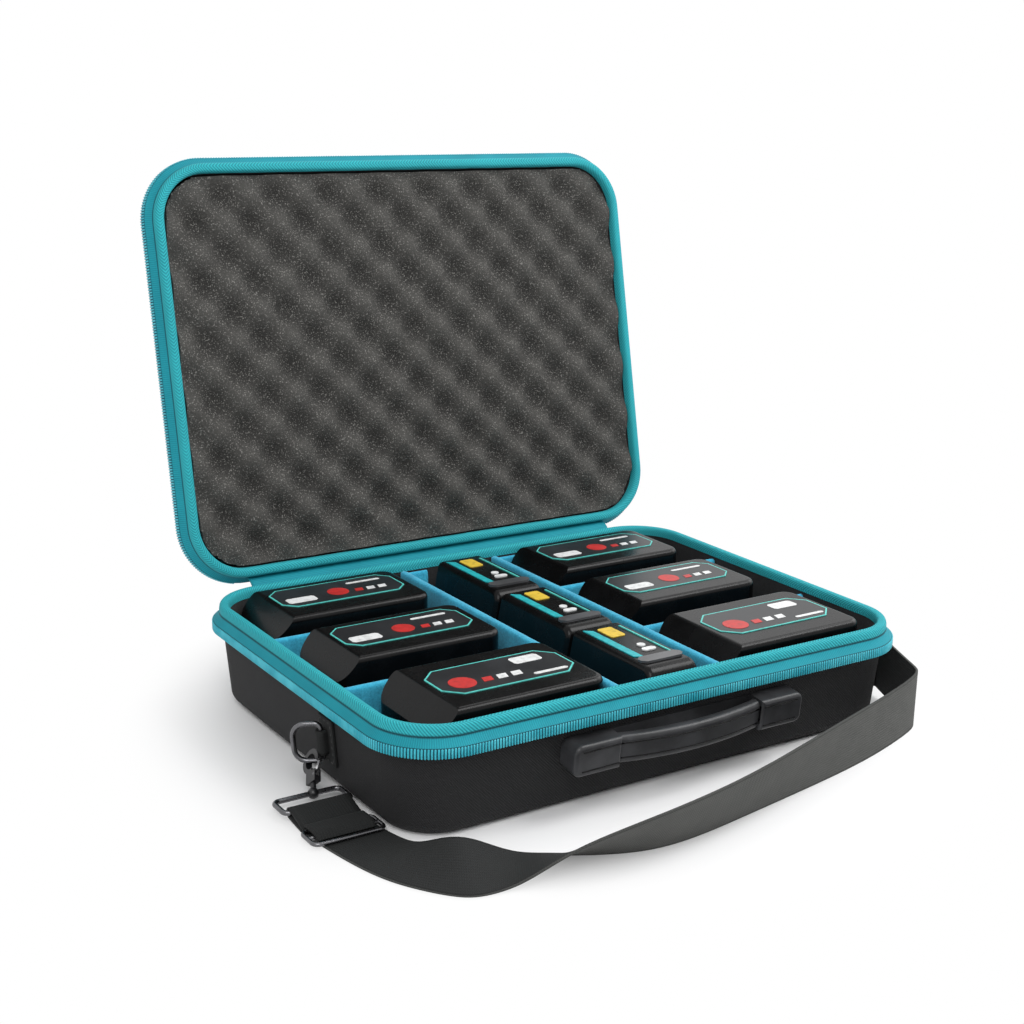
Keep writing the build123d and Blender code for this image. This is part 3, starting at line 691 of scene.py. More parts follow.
@dataclass(frozen=True)
class PalePaper(Finish):
    """The studio's plain floor: pale where the object's shadow falls, and pure white further off."""

    name: str = "studio_floor"
    colour: Colour = (0.88, 0.88, 0.885)
    white: Colour = (1, 1, 1)
    fade: Point = (0.19, 0.29)
    patch: float = 0.8
    shade: float = 0.985

    def sockets(self, board: Board) -> Sockets:
        """Paper, with a white glow mixed in where it is looked at away from the object.

        Args:
            board: The finish's node tree.

        Returns:
            The values and wires for the shader, by socket.
        """
        away = board.vector("LENGTH", board.place())
        glow = board.node("ShaderNodeEmission", None, {"Color": self.white})
        inputs = {0: board.seen() * away.ramp(*self.fade), 1: Wire(board, board.shader.outputs[0]), 2: glow}
        blend = board.node("ShaderNodeMixShader", None, inputs)
        board.plug(board.tree.nodes["Material Output"].inputs["Surface"], blend)
        shade = tuple(part * self.shade for part in self.colour)
        tone = board.noise(self.patch, detail=2)
        return {"base_color": board.mix(tone, shade, self.colour), "roughness": 0.9}


BINDING = HerringboneBinding()
TAPE = TapeWeave()
# The hinge strip gets no painted groove shade.
HINGE_WEAVE = TapeWeave("hinge_weave", groove_shade_share=0.0)
LINING = BrushedCloth("lining_cloth", (0.004, 0.004, 0.005), (0.017, 0.017, 0.018), sheen=0.05)
FELT = BrushedCloth("divider_felt", (0.012, 0.26, 0.43), (0.045, 0.50, 0.72))
# A dark cloth that is painted shade: in the seam's groove under the welt and in the gaps behind the coil's
# teeth.
SEAM_SHADE = BrushedCloth("seam_shadow", (0.001, 0.030, 0.044), (0.003, 0.065, 0.086), sheen=0.0)
THREAD = BrushedCloth("thread", (0.012, 0.012, 0.013), (0.05, 0.05, 0.052))
COIL = MouldedPlastic("zip_coil", (0.02, 0.36, 0.46), (0.09, 0.56, 0.66), roughness=0.40)
GRIP_PLASTIC = MouldedPlastic(
    "handle_plastic", (0.022, 0.0225, 0.024), (0.048, 0.049, 0.053), roughness=0.36,
    grain=0.0012, depth=0.00010,
)
PACK = MouldedPlastic(
    "pack_plastic", (0.0018, 0.0018, 0.0020), (0.0042, 0.0042, 0.0046), roughness=0.26, coat=0.05, gloss=0.14
)
GUNMETAL = PlatedMetal("gunmetal", (0.07, 0.07, 0.075), (0.22, 0.22, 0.23), metallic=1.0, roughness=0.26)
BRIGHT = PlatedMetal("bright_gate", (0.50, 0.50, 0.51), (0.78, 0.78, 0.79), metallic=1.0, roughness=0.20)
BLACK_METAL = PlatedMetal(
    "black_coat", (0.006, 0.006, 0.007), (0.020, 0.020, 0.022), metallic=0.2, roughness=0.30
)
WEBBING = WebbingWeave()
PALE_WEBBING = WebbingWeave("pale_webbing", (0.030, 0.031, 0.030), (0.115, 0.117, 0.110))


class Ink(Enum):
    """The finishes of a pack's marks, in the order of their material numbers."""

    LABEL = MouldedPlastic("pack_label", (0.014, 0.015, 0.017), (0.024, 0.025, 0.028), roughness=0.34)
    MINT = PrintedInk("mint_ink", (0.10, 0.62, 0.56))
    WHITE = PrintedInk("white_ink", (0.78, 0.79, 0.79))
    RED = PrintedInk("red_ink", (0.52, 0.022, 0.02))
    TEAL = PrintedInk("teal_ink", (0.016, 0.42, 0.46))
    YELLOW = PrintedInk("yellow_ink", (0.75, 0.52, 0.05))
    TRIM = MouldedPlastic("pack_trim", (0.008, 0.008, 0.009), (0.018, 0.018, 0.020), roughness=0.36)
    LATCH = MouldedPlastic(
        "pack_latch", (0.050, 0.051, 0.054), (0.095, 0.097, 0.103), roughness=0.30, coat=0.2
    )

    @property
    def number(self) -> int:
        """The finish's material number."""
        return list(Ink).index(self)


@dataclass(frozen=True)
class CaseSizes:
    """The case's own sizes, which the trim follows."""

    half_width: float = 0.195
    half_depth: float = 0.1465
    corner: float = 0.044
    base_height: float = 0.0702
    lid_gap: float = 0.0004
    shell_inset: float = 0.006
    welt_height: float = 0.0062
    wall_draft: float = math.radians(5.6)
    hinge_half: float = 0.151

    @property
    def half_run(self) -> Point:
        """Half the straight run along the front and along a side."""
        return self.half_width - self.corner, self.half_depth - self.corner

    @property
    def whole_run(self) -> float:
        """The length of the whole outline."""
        return 4 * sum(self.half_run) + math.tau * self.corner

    def around(self, spot: Vector) -> Point:
        """How far a point lies out from the outline, and how far round it from the front's middle.

        Args:
            spot: A point in the rim's own frame.

        Returns:
            The way out and the way round.
        """
        wide, deep = self.half_run
        near = min(abs(spot.x), wide)
        along = max(min(spot.y, deep), -deep)
        away = Vector((abs(spot.x) - near, along - spot.y))
        turn = math.atan2(away.x, away.y) * self.corner
        run = (near if spot.y < deep else 2 * wide - near) + along + deep + turn
        return away.length - self.corner, math.copysign(run, spot.x)

    def wall(self, outward: Vector, height: float, along: float) -> Matrix:
        """A frame on a base wall: X along it, Y up it and Z out of it.

        Args:
            outward: The level direction that the wall faces, along X or Y.
            height: The frame's height above the floor.
            along: The frame's place along the wall.

        Returns:
            The frame as a matrix.
        """
        depth = self.base_height - height - self.welt_height
        half = self.half_width if abs(outward.x) > abs(outward.y) else self.half_depth
        reach = half - self.shell_inset - depth * math.tan(self.wall_draft)
        run = UP.cross(outward)
        normal = outward * math.cos(self.wall_draft) - UP * math.sin(self.wall_draft)
        return frame_of(outward * reach + run * along + UP * height, run, normal.cross(run), normal)


class Workshop:
    """The loaded frame and the finishes, shared by every sub-assembly."""

    SMOOTH_ANGLE = math.radians(38)
    RELAX = {"factor": 0.5, "use_axis_x": True, "use_axis_y": True, "use_axis_z": True}

    def __init__(self, frame: dict[str, Any], case: CaseSizes) -> None:
        """Hold the frame and the case's sizes.

        Args:
            case: The case's sizes.
        """
        self.frame = frame
        self.case = case
        self.stock: dict[Finish, bpy.types.Material] = {}

    def finish(self, kind: Finish) -> bpy.types.Material:
        """A finish's material, built once.

        Args:
            kind: The finish.

        Returns:
            Its material.
        """
        if kind not in self.stock:
            self.stock[kind] = kind.make()
        return self.stock[kind]

    def dress(self, kind: Finish, *nodes: str) -> None:
        """Give solids that stay in view a finish.

        Args:
            kind: The finish to give.
            nodes: The solids' names.
        """
        for name in nodes:
            node = self.frame["nodes"][name]
            if not node.material_slots:
                node.data.materials.append(None)
            for slot in node.material_slots:
                slot.material = self.finish(kind)
            log.info("dressed %s", name)

    def copy(self, node: str) -> BMesh:
        """A merged copy of a solid's mesh.

        Args:
            node: The solid's name.

        Returns:
            The copied mesh.
        """
        mesh = bmesh.new()
        mesh.from_mesh(self.frame["nodes"][node].data)
        bmesh.ops.remove_doubles(mesh, verts=mesh.verts, dist=MERGE)
        return mesh

    def piece(
        self,
        name: str,
        mesh: BMesh,
        body: str | None,
        slot: str,
        finishes: Sequence[Finish],
        replaces: Sequence[str] = (),
    ) -> bpy.types.Object:
        """Turn a mesh into a piece of the object.

        Args:
            name: The piece's name.
            mesh: Its finished mesh, in the frame's metres.
            body: The body that it rides on, or None for one that rides on none.
            slot: The record's material slot; not used.
            finishes: Its finishes, in the order of the mesh's material numbers.
            replaces: The solids that it stands for.

        Returns:
            The new object.
        """
        data = to_data(name, mesh)
        data.polygons.foreach_set("use_smooth", [True] * len(data.polygons))
        data.set_sharp_from_angle(angle=self.SMOOTH_ANGLE)
        for kind in finishes:
            data.materials.append(self.finish(kind))
        made = stand(name, data)
        if body is not None:
            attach(made, body)
        if replaces:
            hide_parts(*replaces)
        log.info("built %s with %d faces", name, len(data.polygons))
        return made

    def soften(self, node: str, voxel: float, passes: int) -> BMesh:
        """A soft-edged copy of a solid: remeshed evenly and relaxed.

        Args:
            node: The solid to copy.
            voxel: The remesh's cell size.
            passes: How often the mesh is relaxed.

        Returns:
            The softened mesh.
        """
        data = to_data(f"{node}_source", self.copy(node))
        source = stand(data.name, data)
        remesh = source.modifiers.new("even", "REMESH")
        remesh.mode = "VOXEL"
        remesh.voxel_size = voxel
        soft = bmesh.new()
        soft.from_object(source, bpy.context.evaluated_depsgraph_get())
        bpy.data.objects.remove(source)
        bpy.data.meshes.remove(data)
        for _ in range(passes):
            bmesh.ops.smooth_vert(soft, verts=soft.verts, **self.RELAX)
        return soft


class Half(Enum):
    """The two halves of the case, each with the body that it rides on."""

    BASE = "case"
    LID = "lid"


@dataclass
class Leg:
    """A straight run or a rounded corner of the case's outline."""

    start: Vector
    heading: Vector
    corner: float
    centre: Vector | None
    low: float
    high: float

    def frame(self, reach: float) -> Matrix:
        """A frame at a reach along the leg: X along it, Y out of it and Z up.

        Args:
            reach: How far along the leg the frame stands.

        Returns:
            The frame as a matrix.
        """
        spot = self.start + self.heading * reach
        facing = self.heading
        if self.centre is not None:
            turned = Matrix.Rotation(-reach / self.corner, 3, UP)
            spot = self.centre + turned @ (self.start - self.centre)
            facing = turned @ self.heading
        return frame_of(spot, facing, UP.cross(facing), UP)


@dataclass
class RimPath:
    """The case's rounded outline, open or closed along the rear, to sweep sections along."""

    case: CaseSizes
    gap: float
    run_step: float = 0.010
    corner_step: float = 0.0043

    def legs(self) -> Iterator[Leg]:
        """The outline's legs between the two ends of the rear gap, clockwise seen from above.

        Returns:
            The legs, one after another.
        """
        wide, deep = self.case.half_run
        corner = self.case.corner
        arc = corner * QUARTER
        heading = RIGHT
        start = REAR * self.case.half_depth
        stop = self.case.whole_run - self.gap
        reach = 0.0
        for index, length in enumerate((wide, arc, 2 * deep, arc, 2 * wide, arc, 2 * deep, arc, wide)):
            inward = heading.cross(UP)
            centre = start + inward * corner if index % 2 else None
            low, high = max(self.gap - reach, 0), min(stop - reach, length)
            if low < high:
                yield Leg(start, heading, corner, centre, low, high)
            reach += length
            if centre is None:
                start = start + heading * length
            else:
                start = centre + heading * corner
                heading = inward

    def sweep(self, section: Sequence[Point]) -> BMesh:
        """Sweep a closed section round the outline.

        Args:
            section: Points as the way out from the outline and the height above the rim.

        Returns:
            The swept mesh, in the rim's own frame.
        """
        mesh = bmesh.new()
        legs = list(self.legs())
        begin = legs[0].frame(legs[0].low)
        first = [mesh.verts.new(begin @ Vector((0, *point))) for point in section]
        edges = [mesh.edges.new(pair) for pair in zip(first, first[1:] + first[:1])]
        for leg in legs:
            edges = self.run(mesh, edges, leg) if leg.centre is None else self.turn(mesh, edges, leg)
        if self.gap == 0:
            bmesh.ops.remove_doubles(mesh, verts=mesh.verts, dist=MERGE)
        else:
            bmesh.ops.holes_fill(mesh, edges=[edge for edge in mesh.edges if edge.is_boundary], sides=0)
        self.chart(mesh, section)
        return mesh

    def run(self, mesh: BMesh, edges: list[BMEdge], leg: Leg) -> list[BMEdge]:
        """Carry a section straight along a leg, in even steps, and return its last edges.

        Args:
            mesh: The mesh that grows.
            edges: The section's edges at the leg's start.
            leg: The straight leg.

        Returns:
            The section's edges at the leg's end.
        """
        length = leg.high - leg.low
        steps = max(1, round(length / self.run_step))
        for _ in range(steps):
            grown = bmesh.ops.extrude_edge_only(mesh, edges=edges)["geom"]
            edges = of_kind(grown, BMEdge)
            bmesh.ops.translate(mesh, verts=of_kind(grown, BMVert), vec=leg.heading * (length / steps))
        return edges

    def turn(self, mesh: BMesh, edges: list[BMEdge], leg: Leg) -> list[BMEdge]:
        """Carry a section round a corner and return its last edges.

        Args:
            mesh: The mesh that grows.
            edges: The section's edges at the corner's start.
            leg: The corner.

        Returns:
            The section's edges at the corner's end.
        """
        length = leg.high - leg.low
        geom = [*{vert for edge in edges for vert in edge.verts}, *edges]
        turn = {"angle": length / leg.corner, "steps": max(2, round(length / self.corner_step))}
        spun = bmesh.ops.spin(mesh, geom=geom, cent=leg.centre, axis=-UP, **turn)
        return of_kind(spun["geom_last"], BMEdge)

    def chart(self, mesh: BMesh, section: Sequence[Point]) -> None:
        """Map the swept faces in metres, across the section and round the outline.

        Args:
            mesh: The swept mesh, which gets the map.
            section: The section that was swept.
        """
        spots = dict(zip(section, accumulate(map(math.dist, section, section[1:]), initial=0.0)))
        strip = mesh.loops.layers.uv.new("strip")
        whole = self.case.whole_run
        for face in mesh.faces:
            middle = self.case.around(face.calc_center_median())[1]
            for loop in face.loops:
                out, run = self.case.around(loop.vert.co)
                if abs(run - middle) > whole / 2:
                    run += math.copysign(whole, middle)
                nearest = min(section, key=lambda point: math.dist(point, (out, loop.vert.co.z)))
                loop[strip].uv = (spots[nearest], run)

    def places(self, pitch: float) -> Iterator[Matrix]:
        """Frames at a pitch along the outline.

        Args:
            pitch: The distance from one frame to the next.

        Returns:
            The frames, one after another.
        """
        spare = pitch / 2
        for leg in self.legs():
            reach = leg.low + spare
            while reach < leg.high:
                yield leg.frame(reach)
                reach += pitch
            spare = reach - leg.high


@dataclass
class RimTrim:
    """One half's rim: welt, seam, zip tape and zip coil."""

    shop: Workshop
    half: Half
    lid_swing: float
    hinge: Vector
    tape_gap: float = 0.146
    coil_gap: float = 0.1587
    welt_middle: float = -0.0082
    welt_half: float = 0.0034
    welt_square: float = 0.62
    welt_steps: int = 14
    # Sections, as the way out from the outline and the height above the rim.
    seam: tuple[Point, ...] = (
        (-0.0056, -0.0056), (-0.0050, -0.0059), (-0.0050, -0.0065),
        (-0.0056, -0.0069), (-0.0070, -0.0069), (-0.0070, -0.0056),
    )
    tape: tuple[Point, ...] = (
        (-0.0050, -0.0062), (-0.0044, -0.0074), (-0.0033, -0.0088), (-0.0019, -0.0101), (-0.0006, -0.0112),
        (-0.0014, -0.0116), (-0.0029, -0.0104), (-0.0043, -0.0091), (-0.0054, -0.0077), (-0.0061, -0.0062),
    )
    core: tuple[Point, ...] = (
        (-0.0006, -0.0112), (-0.0006, -0.0168), (-0.0013, -0.0173), (-0.0028, -0.0171), (-0.0030, -0.0113),
    )
    tooth_pitch: float = 0.0019
    tooth_share: float = 0.64
    tooth_bevel: float = 0.00035
    tooth_size: Point = (0.0032, 0.0060)
    tooth_middle: Point = (-0.0016, -0.0144)

    def welt(self) -> list[Point]:
        """The welt's section: a padded roll with a flat foot.

        Returns:
            The section's points.
        """
        height = self.shop.case.welt_height
        section = []
        for step in range(self.welt_steps + 1):
            angle = math.pi * step / self.welt_steps
            reach = math.copysign(abs(math.cos(angle)) ** self.welt_square, math.cos(angle))
            rise = math.sin(angle) ** self.welt_square
            section.append((self.welt_middle + self.welt_half * reach, height * (rise - 1)))
        return section

    def place(self) -> Matrix:
        """The matrix from the rim's own frame to this half, standing as at rest.

        Returns:
            The matrix.
        """
        lift = Matrix.Translation(UP * self.shop.case.base_height)
        if self.half is Half.BASE:
            return lift
        to_hinge = Matrix.Translation(self.hinge)
        swing = Matrix.Rotation(-self.lid_swing, 4, "X")
        shut = Matrix.Translation(UP * self.shop.case.lid_gap) @ lift @ Matrix.Scale(-1, 4, UP)
        return to_hinge @ swing @ to_hinge.inverted() @ shut

    def swept(self, section: Sequence[Point], gap: float) -> BMesh:
        """A section swept round the rim."""
        return RimPath(self.shop.case, gap).sweep(section)

    def teeth(self) -> BMesh:
        """The coil's teeth.

        Returns:
            The teeth's mesh, in the rim's own frame.
        """
        mesh = bmesh.new()
        size = Matrix.Diagonal((self.tooth_pitch * self.tooth_share, *self.tooth_size, 1))
        seat = Matrix.Translation((0, *self.tooth_middle)) @ size
        for spot in RimPath(self.shop.case, self.coil_gap).places(self.tooth_pitch):
            bmesh.ops.create_cube(mesh, size=1, matrix=spot @ seat)
        ease(mesh, mesh.edges[:], self.tooth_bevel, segments=1)
        return mesh

    def build(self) -> None:
        """Build the half's trim and dress its shell."""
        side = self.half.name.lower()
        # The seam and the coil's core are dark sheets of painted shade, in the groove under the welt and
        # behind the teeth.
        for name, mesh, slot, kind, node in (
            ("welt_cover", self.swept(self.welt(), 0), "rim_binding", BINDING, "rim_welt"),
            ("rim_seam_shade", self.swept(self.seam, self.tape_gap), "rim_binding", SEAM_SHADE, None),
            ("tape_cloth", self.swept(self.tape, self.tape_gap), "zip_tape", TAPE, "zip_tape"),
            ("coil_core_shade", self.swept(self.core, self.coil_gap), "zip_coil", SEAM_SHADE, None),
            ("coil_teeth", self.teeth(), "zip_coil", COIL, "zip_coil"),
        ):
            bmesh.ops.transform(mesh, matrix=self.place(), verts=mesh.verts)
            bmesh.ops.recalc_face_normals(mesh, faces=mesh.faces)
            replaces = [f"{side}_{node}"] if node else []
            self.shop.piece(f"{side}_{name}", mesh, self.half.value, slot, [kind], replaces)
        place = self.place()
        case = self.shop.case
        axes = [tuple(place.to_3x3() @ way) for way in (REAR, UP)]
        cloth = TwillCloth(f"{side}_twill", case.half_run, case.corner, tuple(place.translation), *axes)
        self.shop.dress(cloth, f"{side}_shell")


@dataclass
class Ribbon:
    """A flat strip that runs through a line of stations."""

    middles: list[Vector]
    across: list[Vector]
    width: float
    columns: int = 6

    def length(self) -> float:
        """The strip's length along its middle."""
        return sum((b - a).length for a, b in zip(self.middles, self.middles[1:]))

    def mesh(self) -> BMesh:
        """The strip as a thin sheet, mapped in metres across and along.

        Returns:
            The sheet's mesh.
        """
        mesh = bmesh.new()
        spots = [self.width * (column / self.columns - 0.5) for column in range(self.columns + 1)]
        row = [mesh.verts.new(self.middles[0] + self.across[0] * spot) for spot in spots]
        edges = [mesh.edges.new(pair) for pair in zip(row, row[1:])]
        place = {vert: (spot, 0.0) for vert, spot in zip(row, spots)}
        reach = 0.0
        for index in range(1, len(self.middles)):
            reach += (self.middles[index] - self.middles[index - 1]).length
            grown = bmesh.ops.extrude_edge_only(mesh, edges=edges)["geom"]
            fresh = set(of_kind(grown, BMVert))
            edges = of_kind(grown, BMEdge)
            row = [next(e.other_vert(v) for e in v.link_edges if e.other_vert(v) in fresh) for v in row]
            for vert, spot in zip(row, spots):
                vert.co = self.middles[index] + self.across[index] * spot
                place[vert] = (spot, reach)
        strip = mesh.loops.layers.uv.new("strip")
        for face in mesh.faces:
            for loop in face.loops:
                spot, along = place[loop.vert]
                loop[strip].uv = (spot + self.width / 2, along)
        return mesh

    def thicken(self, piece: bpy.types.Object, wall: float, levels: int, back: int = 0) -> None:
        """Smooth a piece made of the strip and give it its thickness.

        Args:
            piece: The strip's object.
            wall: The thickness.
            levels: How often it is subdivided first.
            back: How many material numbers further on the strip's back is.
        """
        if levels:
            smooth = piece.modifiers.new("smooth", "SUBSURF")
            smooth.levels = levels
            smooth.render_levels = levels
            smooth.boundary_smooth = "PRESERVE_CORNERS"
        solid = piece.modifiers.new("thickness", "SOLIDIFY")
        solid.thickness = wall
        solid.offset = 0
        solid.material_offset = back


@dataclass
class FabricHinge:
    """The cloth strip that joins the base's rear wall to the lid's, over the corded edge."""

    shop: Workshop
    rims: Sequence[RimTrim]
    wall: float = 0.0012
    columns: int = 60
    bend_start: Point = (-0.0012, -0.0030)
    bend_end: Point = (0.0030, 0.0006)
    leaf: tuple[Point, ...] = ((-0.0067, -0.0220), (-0.0056, -0.0130), (-0.0042, -0.0064), (-0.0022, -0.0026))

    def build(self) -> None:
        """Build the strip across the hinge."""
        case = self.shop.case
        rows = []
        for rim, leaf in zip(self.rims, (self.leaf, self.leaf[::-1])):
            rows += [rim.place() @ Vector((0, case.half_depth + out, up)) for out, up in leaf]
        strip = Ribbon(rows, [RIGHT] * len(rows), 2 * case.hinge_half, self.columns)
        made = self.shop.piece("hinge_cloth", strip.mesh(), None, "zip_tape", [HINGE_WEAVE])
        strip.thicken(made, self.wall, levels=1)
        start, end = (self.rims[0].hinge + Vector((0, *spot)) for spot in (self.bend_start, self.bend_end))
        tuple(start)
        tuple(end)
        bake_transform(made)
        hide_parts("base_hinge_leaf", "lid_hinge_leaf")


@dataclass
class ShoulderStrap:
    """The webbing strap on the floor, with its two folded ends and the wall tabs."""

    shop: Workshop
    width: float = 0.038
    wall: float = 0.0016
    floor_lift: float = 0.0001
    start_x: float = -0.20695
    bar_radius: float = 0.0016
    fold_gap: float = 0.0003
    fold_splay: float = 0.53
    arc_steps: int = 10
    tab_y: float = -0.0426
    tab_height: float = 0.0315
    tab_patch: Triple = (0.018, 0.030, 0.002)
    tab_fold: float = 0.0155
    tab_bar: float = 0.005
    tab_splay: float = 0.55
    tab_tail: float = 0.6
    tab_bevel: float = 0.3
    tab_inset: float = 0.002
    sharp_angle: float = 1.0
    stitch: Point = (0.0026, 0.00045)
    stitch_pitch: float = 1.45
    stitch_reach: float = 0.40
    stitch_rise: float = 1.1
    stitch_rows: Point = (0.003, 0.009)
    keeper_width: float = 0.0365
    # The way along and the rise from the slider's middle.
    keeper: tuple[Point, ...] = (
        (0.0130, 0.0014), (0.0110, 0.0022), (0.0088, 0.0026), (0.0050, 0.0024),
        (0.0015, 0.0026), (-0.0010, 0.0023), (-0.0028, 0.0008), (-0.0042, -0.0005),
    )
    # The lower edge's x and y, the way across and its tilt in degrees, and the edge's lift.
    route: tuple[tuple[float, float, float, float, float], ...] = (
        (-0.1830, -0.1220, 184, 0, 0),
        (-0.1815, -0.1380, 212, -5, 0.0035),
        (-0.1795, -0.1505, 233, -14, 0.0097),
        (-0.1760, -0.1640, 243, -26, 0.0175),
        (-0.1670, -0.1710, 243, -26, 0.0175),
        (-0.1530, -0.1705, 241, -13, 0.0090),
        (-0.1370, -0.1720, 240, 3, 0.0005),
        (-0.1230, -0.1790, 240, 18, 0),
        (-0.1090, -0.1880, 244, 35, 0),
        (-0.0749, -0.2043, 259, 57, 0),
        (-0.0407, -0.2045, 271, 64, 0),
        (-0.0066, -0.1990, 278, 67, 0),
        (0.0276, -0.1932, 280, 72, 0),
        (0.0617, -0.1873, 281, 78, 0),
        (0.0959, -0.1810, 283, 84, 0),
        (0.1300, -0.1730, 285, 88, 0),
        (0.1600, -0.1635, 290, 89, 0),
        (0.1830, -0.1550, 298, 90, 0),
        (0.1910, -0.1495, 322, 90, 0.0005),
        (0.1940, -0.1420, 345, 90, 0.0010),
        (0.2010, -0.1200, 353, 90, 0.0030),
    )

    def sew(
        self, name: str, mesh: BMesh, replaces: Sequence[str] = (), finishes: Sequence[Finish] = (WEBBING,)
    ) -> bpy.types.Object:
        """Make a piece of the strap from a mesh."""
        return self.shop.piece(name, mesh, "case", "strap_webbing", finishes, replaces)

    def laid(self) -> Ribbon:
        """The strap's own stations, from the left fold round to the right one.

        Returns:
            The strap as a strip.
        """
        left_low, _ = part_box("left_strap_sleeve")
        right_low, right_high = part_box("right_strap_sleeve")
        right_x = (right_low.x + right_high.x) / 2
        first = (self.start_x + self.width / 2, left_low.y, 180, 0, 0)
        last = (right_x, right_low.y, 360, 90, right_low.z)
        middles = []
        across = []
        for x, y, turn, tilt, lift in (first, *self.route, last):
            level = math.cos(math.radians(tilt))
            heading = math.radians(turn)
            way = Vector((math.cos(heading) * level, math.sin(heading) * level, math.sin(math.radians(tilt))))
            low = Vector((x, y, lift + self.floor_lift + self.wall / 2 * level))
            middles.append(low + way * (self.width / 2))
            across.append(way)
        return Ribbon(middles, across, self.width)

    def fold(self, bar: Vector, across: Vector, tail: Vector, width: float, splay: float) -> Ribbon:
        """A strip folded round a bar, with its two layers together at the tail.

        Args:
            bar: The middle of the bar.
            across: The bar's direction.
            tail: The middle of the folded strip's tail.
            width: The strip's width.
            splay: How far each layer lies from the tail's middle.

        Returns:
            The folded strip.
        """
        radius = self.bar_radius + self.fold_gap + self.wall / 2
        away = (tail - bar).normalized()
        side = away.cross(across).normalized()
        half_way = (tail + bar) / 2
        middles = [tail + side * splay, half_way + side * (splay + radius) / 2]
        for step in range(self.arc_steps + 1):
            angle = math.pi * step / self.arc_steps
            middles.append(bar + side * (radius * math.cos(angle)) - away * (radius * math.sin(angle)))
        middles += [half_way - side * (splay + radius) / 2, tail - side * splay]
        return Ribbon(middles, [across] * len(middles), width, columns=4)

    def stitches(self, name: str, rows: Sequence[tuple[Vector, Vector]], flat: Vector) -> None:
        """Sew rows of stitches between pairs of points, lying on a surface that faces a way.

        Args:
            name: The piece's name.
            rows: The two ends of each row.
            flat: The way that the surface faces.
        """
        mesh = bmesh.new()
        length, radius = self.stitch
        size = Matrix.Diagonal((length / 2, radius, radius, 1))
        for start, stop in rows:
            run = stop - start
            count = max(1, int(run.length / (length * self.stitch_pitch)))
            way = run.normalized()
            for index in range(count):
                spot = start + run * ((index + 0.5) / count)
                place = frame_of(spot, way, flat.cross(way), flat) @ size
                bmesh.ops.create_icosphere(mesh, subdivisions=1, radius=1, matrix=place)
        self.sew(name, mesh, finishes=[THREAD])

    def build_strap(self) -> None:
        """Build the strap and its two folded ends."""
        laid = self.laid()
        strap = self.sew("strap_band", laid.mesh(), ["shoulder_strap"], [PALE_WEBBING, WEBBING])
        laid.thicken(strap, self.wall, levels=3, back=1)
        laid.length()
        for side, across, flat in (("left", RIGHT, UP), ("right", UP, RIGHT)):
            low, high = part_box(f"{side}_strap_loop")
            tail_low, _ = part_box(f"{side}_strap_sleeve")
            middle = (low + high) / 2
            x, level = middle.x, middle.z
            if side == "left":
                x, level = self.start_x, self.floor_lift + self.wall
            bar = Vector((x, low.y + self.bar_radius, middle.z))
            tail = Vector((x, tail_low.y, level))
            strip = self.fold(bar, across, tail, self.width, self.wall * self.fold_splay)
            fold = self.sew(f"{side}_strap_fold", strip.mesh(), [f"{side}_strap_sleeve"])
            strip.thicken(fold, self.wall, levels=1)
            strip.length()
            reach = across * (self.width * self.stitch_reach)
            seat = tail + flat * (self.wall * self.stitch_rise)
            spots = [seat + (bar - tail).normalized() * step for step in self.stitch_rows]
            self.stitches(f"{side}_strap_stitches", [(spot - reach, spot + reach) for spot in spots], flat)

    def build_keeper(self) -> None:
        """Build the webbing that is threaded over the slider's rear and middle bars."""
        low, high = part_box("strap_slider")
        middle = (low + high) / 2
        rows = [Vector((self.start_x, middle.y + along, middle.z + rise)) for along, rise in self.keeper]
        strip = Ribbon(rows, [RIGHT] * len(rows), self.keeper_width)
        piece = self.sew("strap_keeper", strip.mesh())
        strip.thicken(piece, self.wall, levels=2)
        strip.length()

    def patch(self, frame: Matrix) -> BMesh:
        """A wall tab's sewn patch, mapped as webbing.

        Args:
            frame: The tab's frame on the wall.

        Returns:
            The patch's mesh.
        """
        mesh = bmesh.new()
        thick = self.tab_patch[-1]
        size = Matrix.Diagonal((*self.tab_patch, 1))
        bmesh.ops.create_cube(mesh, size=1, matrix=frame @ Matrix.Translation(UP * thick / 2) @ size)
        bmesh.ops.subdivide_edges(mesh, edges=mesh.edges[:], cuts=3, use_grid_fill=True)
        sharp = [edge for edge in mesh.edges if edge.calc_face_angle(0) > self.sharp_angle]
        ease(mesh, sharp, thick * self.tab_bevel, segments=3)
        strip = mesh.loops.layers.uv.new("strip")
        inverse = frame.inverted()
        for face in mesh.faces:
            for loop in face.loops:
                spot = inverse @ loop.vert.co
                loop[strip].uv = (spot.x + self.width / 2, spot.y)
        return mesh

    def build_tabs(self) -> None:
        """Build the two wall tabs, each a sewn patch and a fold round its ring."""
        wide, tall, thick = self.tab_patch
        for side, way in SIDES:
            frame = self.shop.case.wall(RIGHT * way, self.tab_height, self.tab_y * way)
            self.sew(f"{side}_tab_patch", self.patch(frame), [f"{side}_strap_tab"])
            bar = frame @ (UP * self.tab_bar)
            tail = frame @ (UP * thick * self.tab_tail)
            rise, normal = ((frame.to_3x3() @ axis).normalized() for axis in (REAR, UP))
            strip = self.fold(bar, rise, tail, self.tab_fold, self.wall * self.tab_splay)
            strip.thicken(self.sew(f"{side}_tab_fold", strip.mesh()), self.wall, levels=1)
            x, y = wide / 2 - self.tab_inset, tall / 2 - self.tab_inset
            spots = [frame @ Vector((*spot, thick)) for spot in ((-x, -y), (x, -y), (x, y), (-x, y))]
            self.stitches(f"{side}_tab_stitches", list(zip(spots, spots[1:] + spots[:1])), normal)

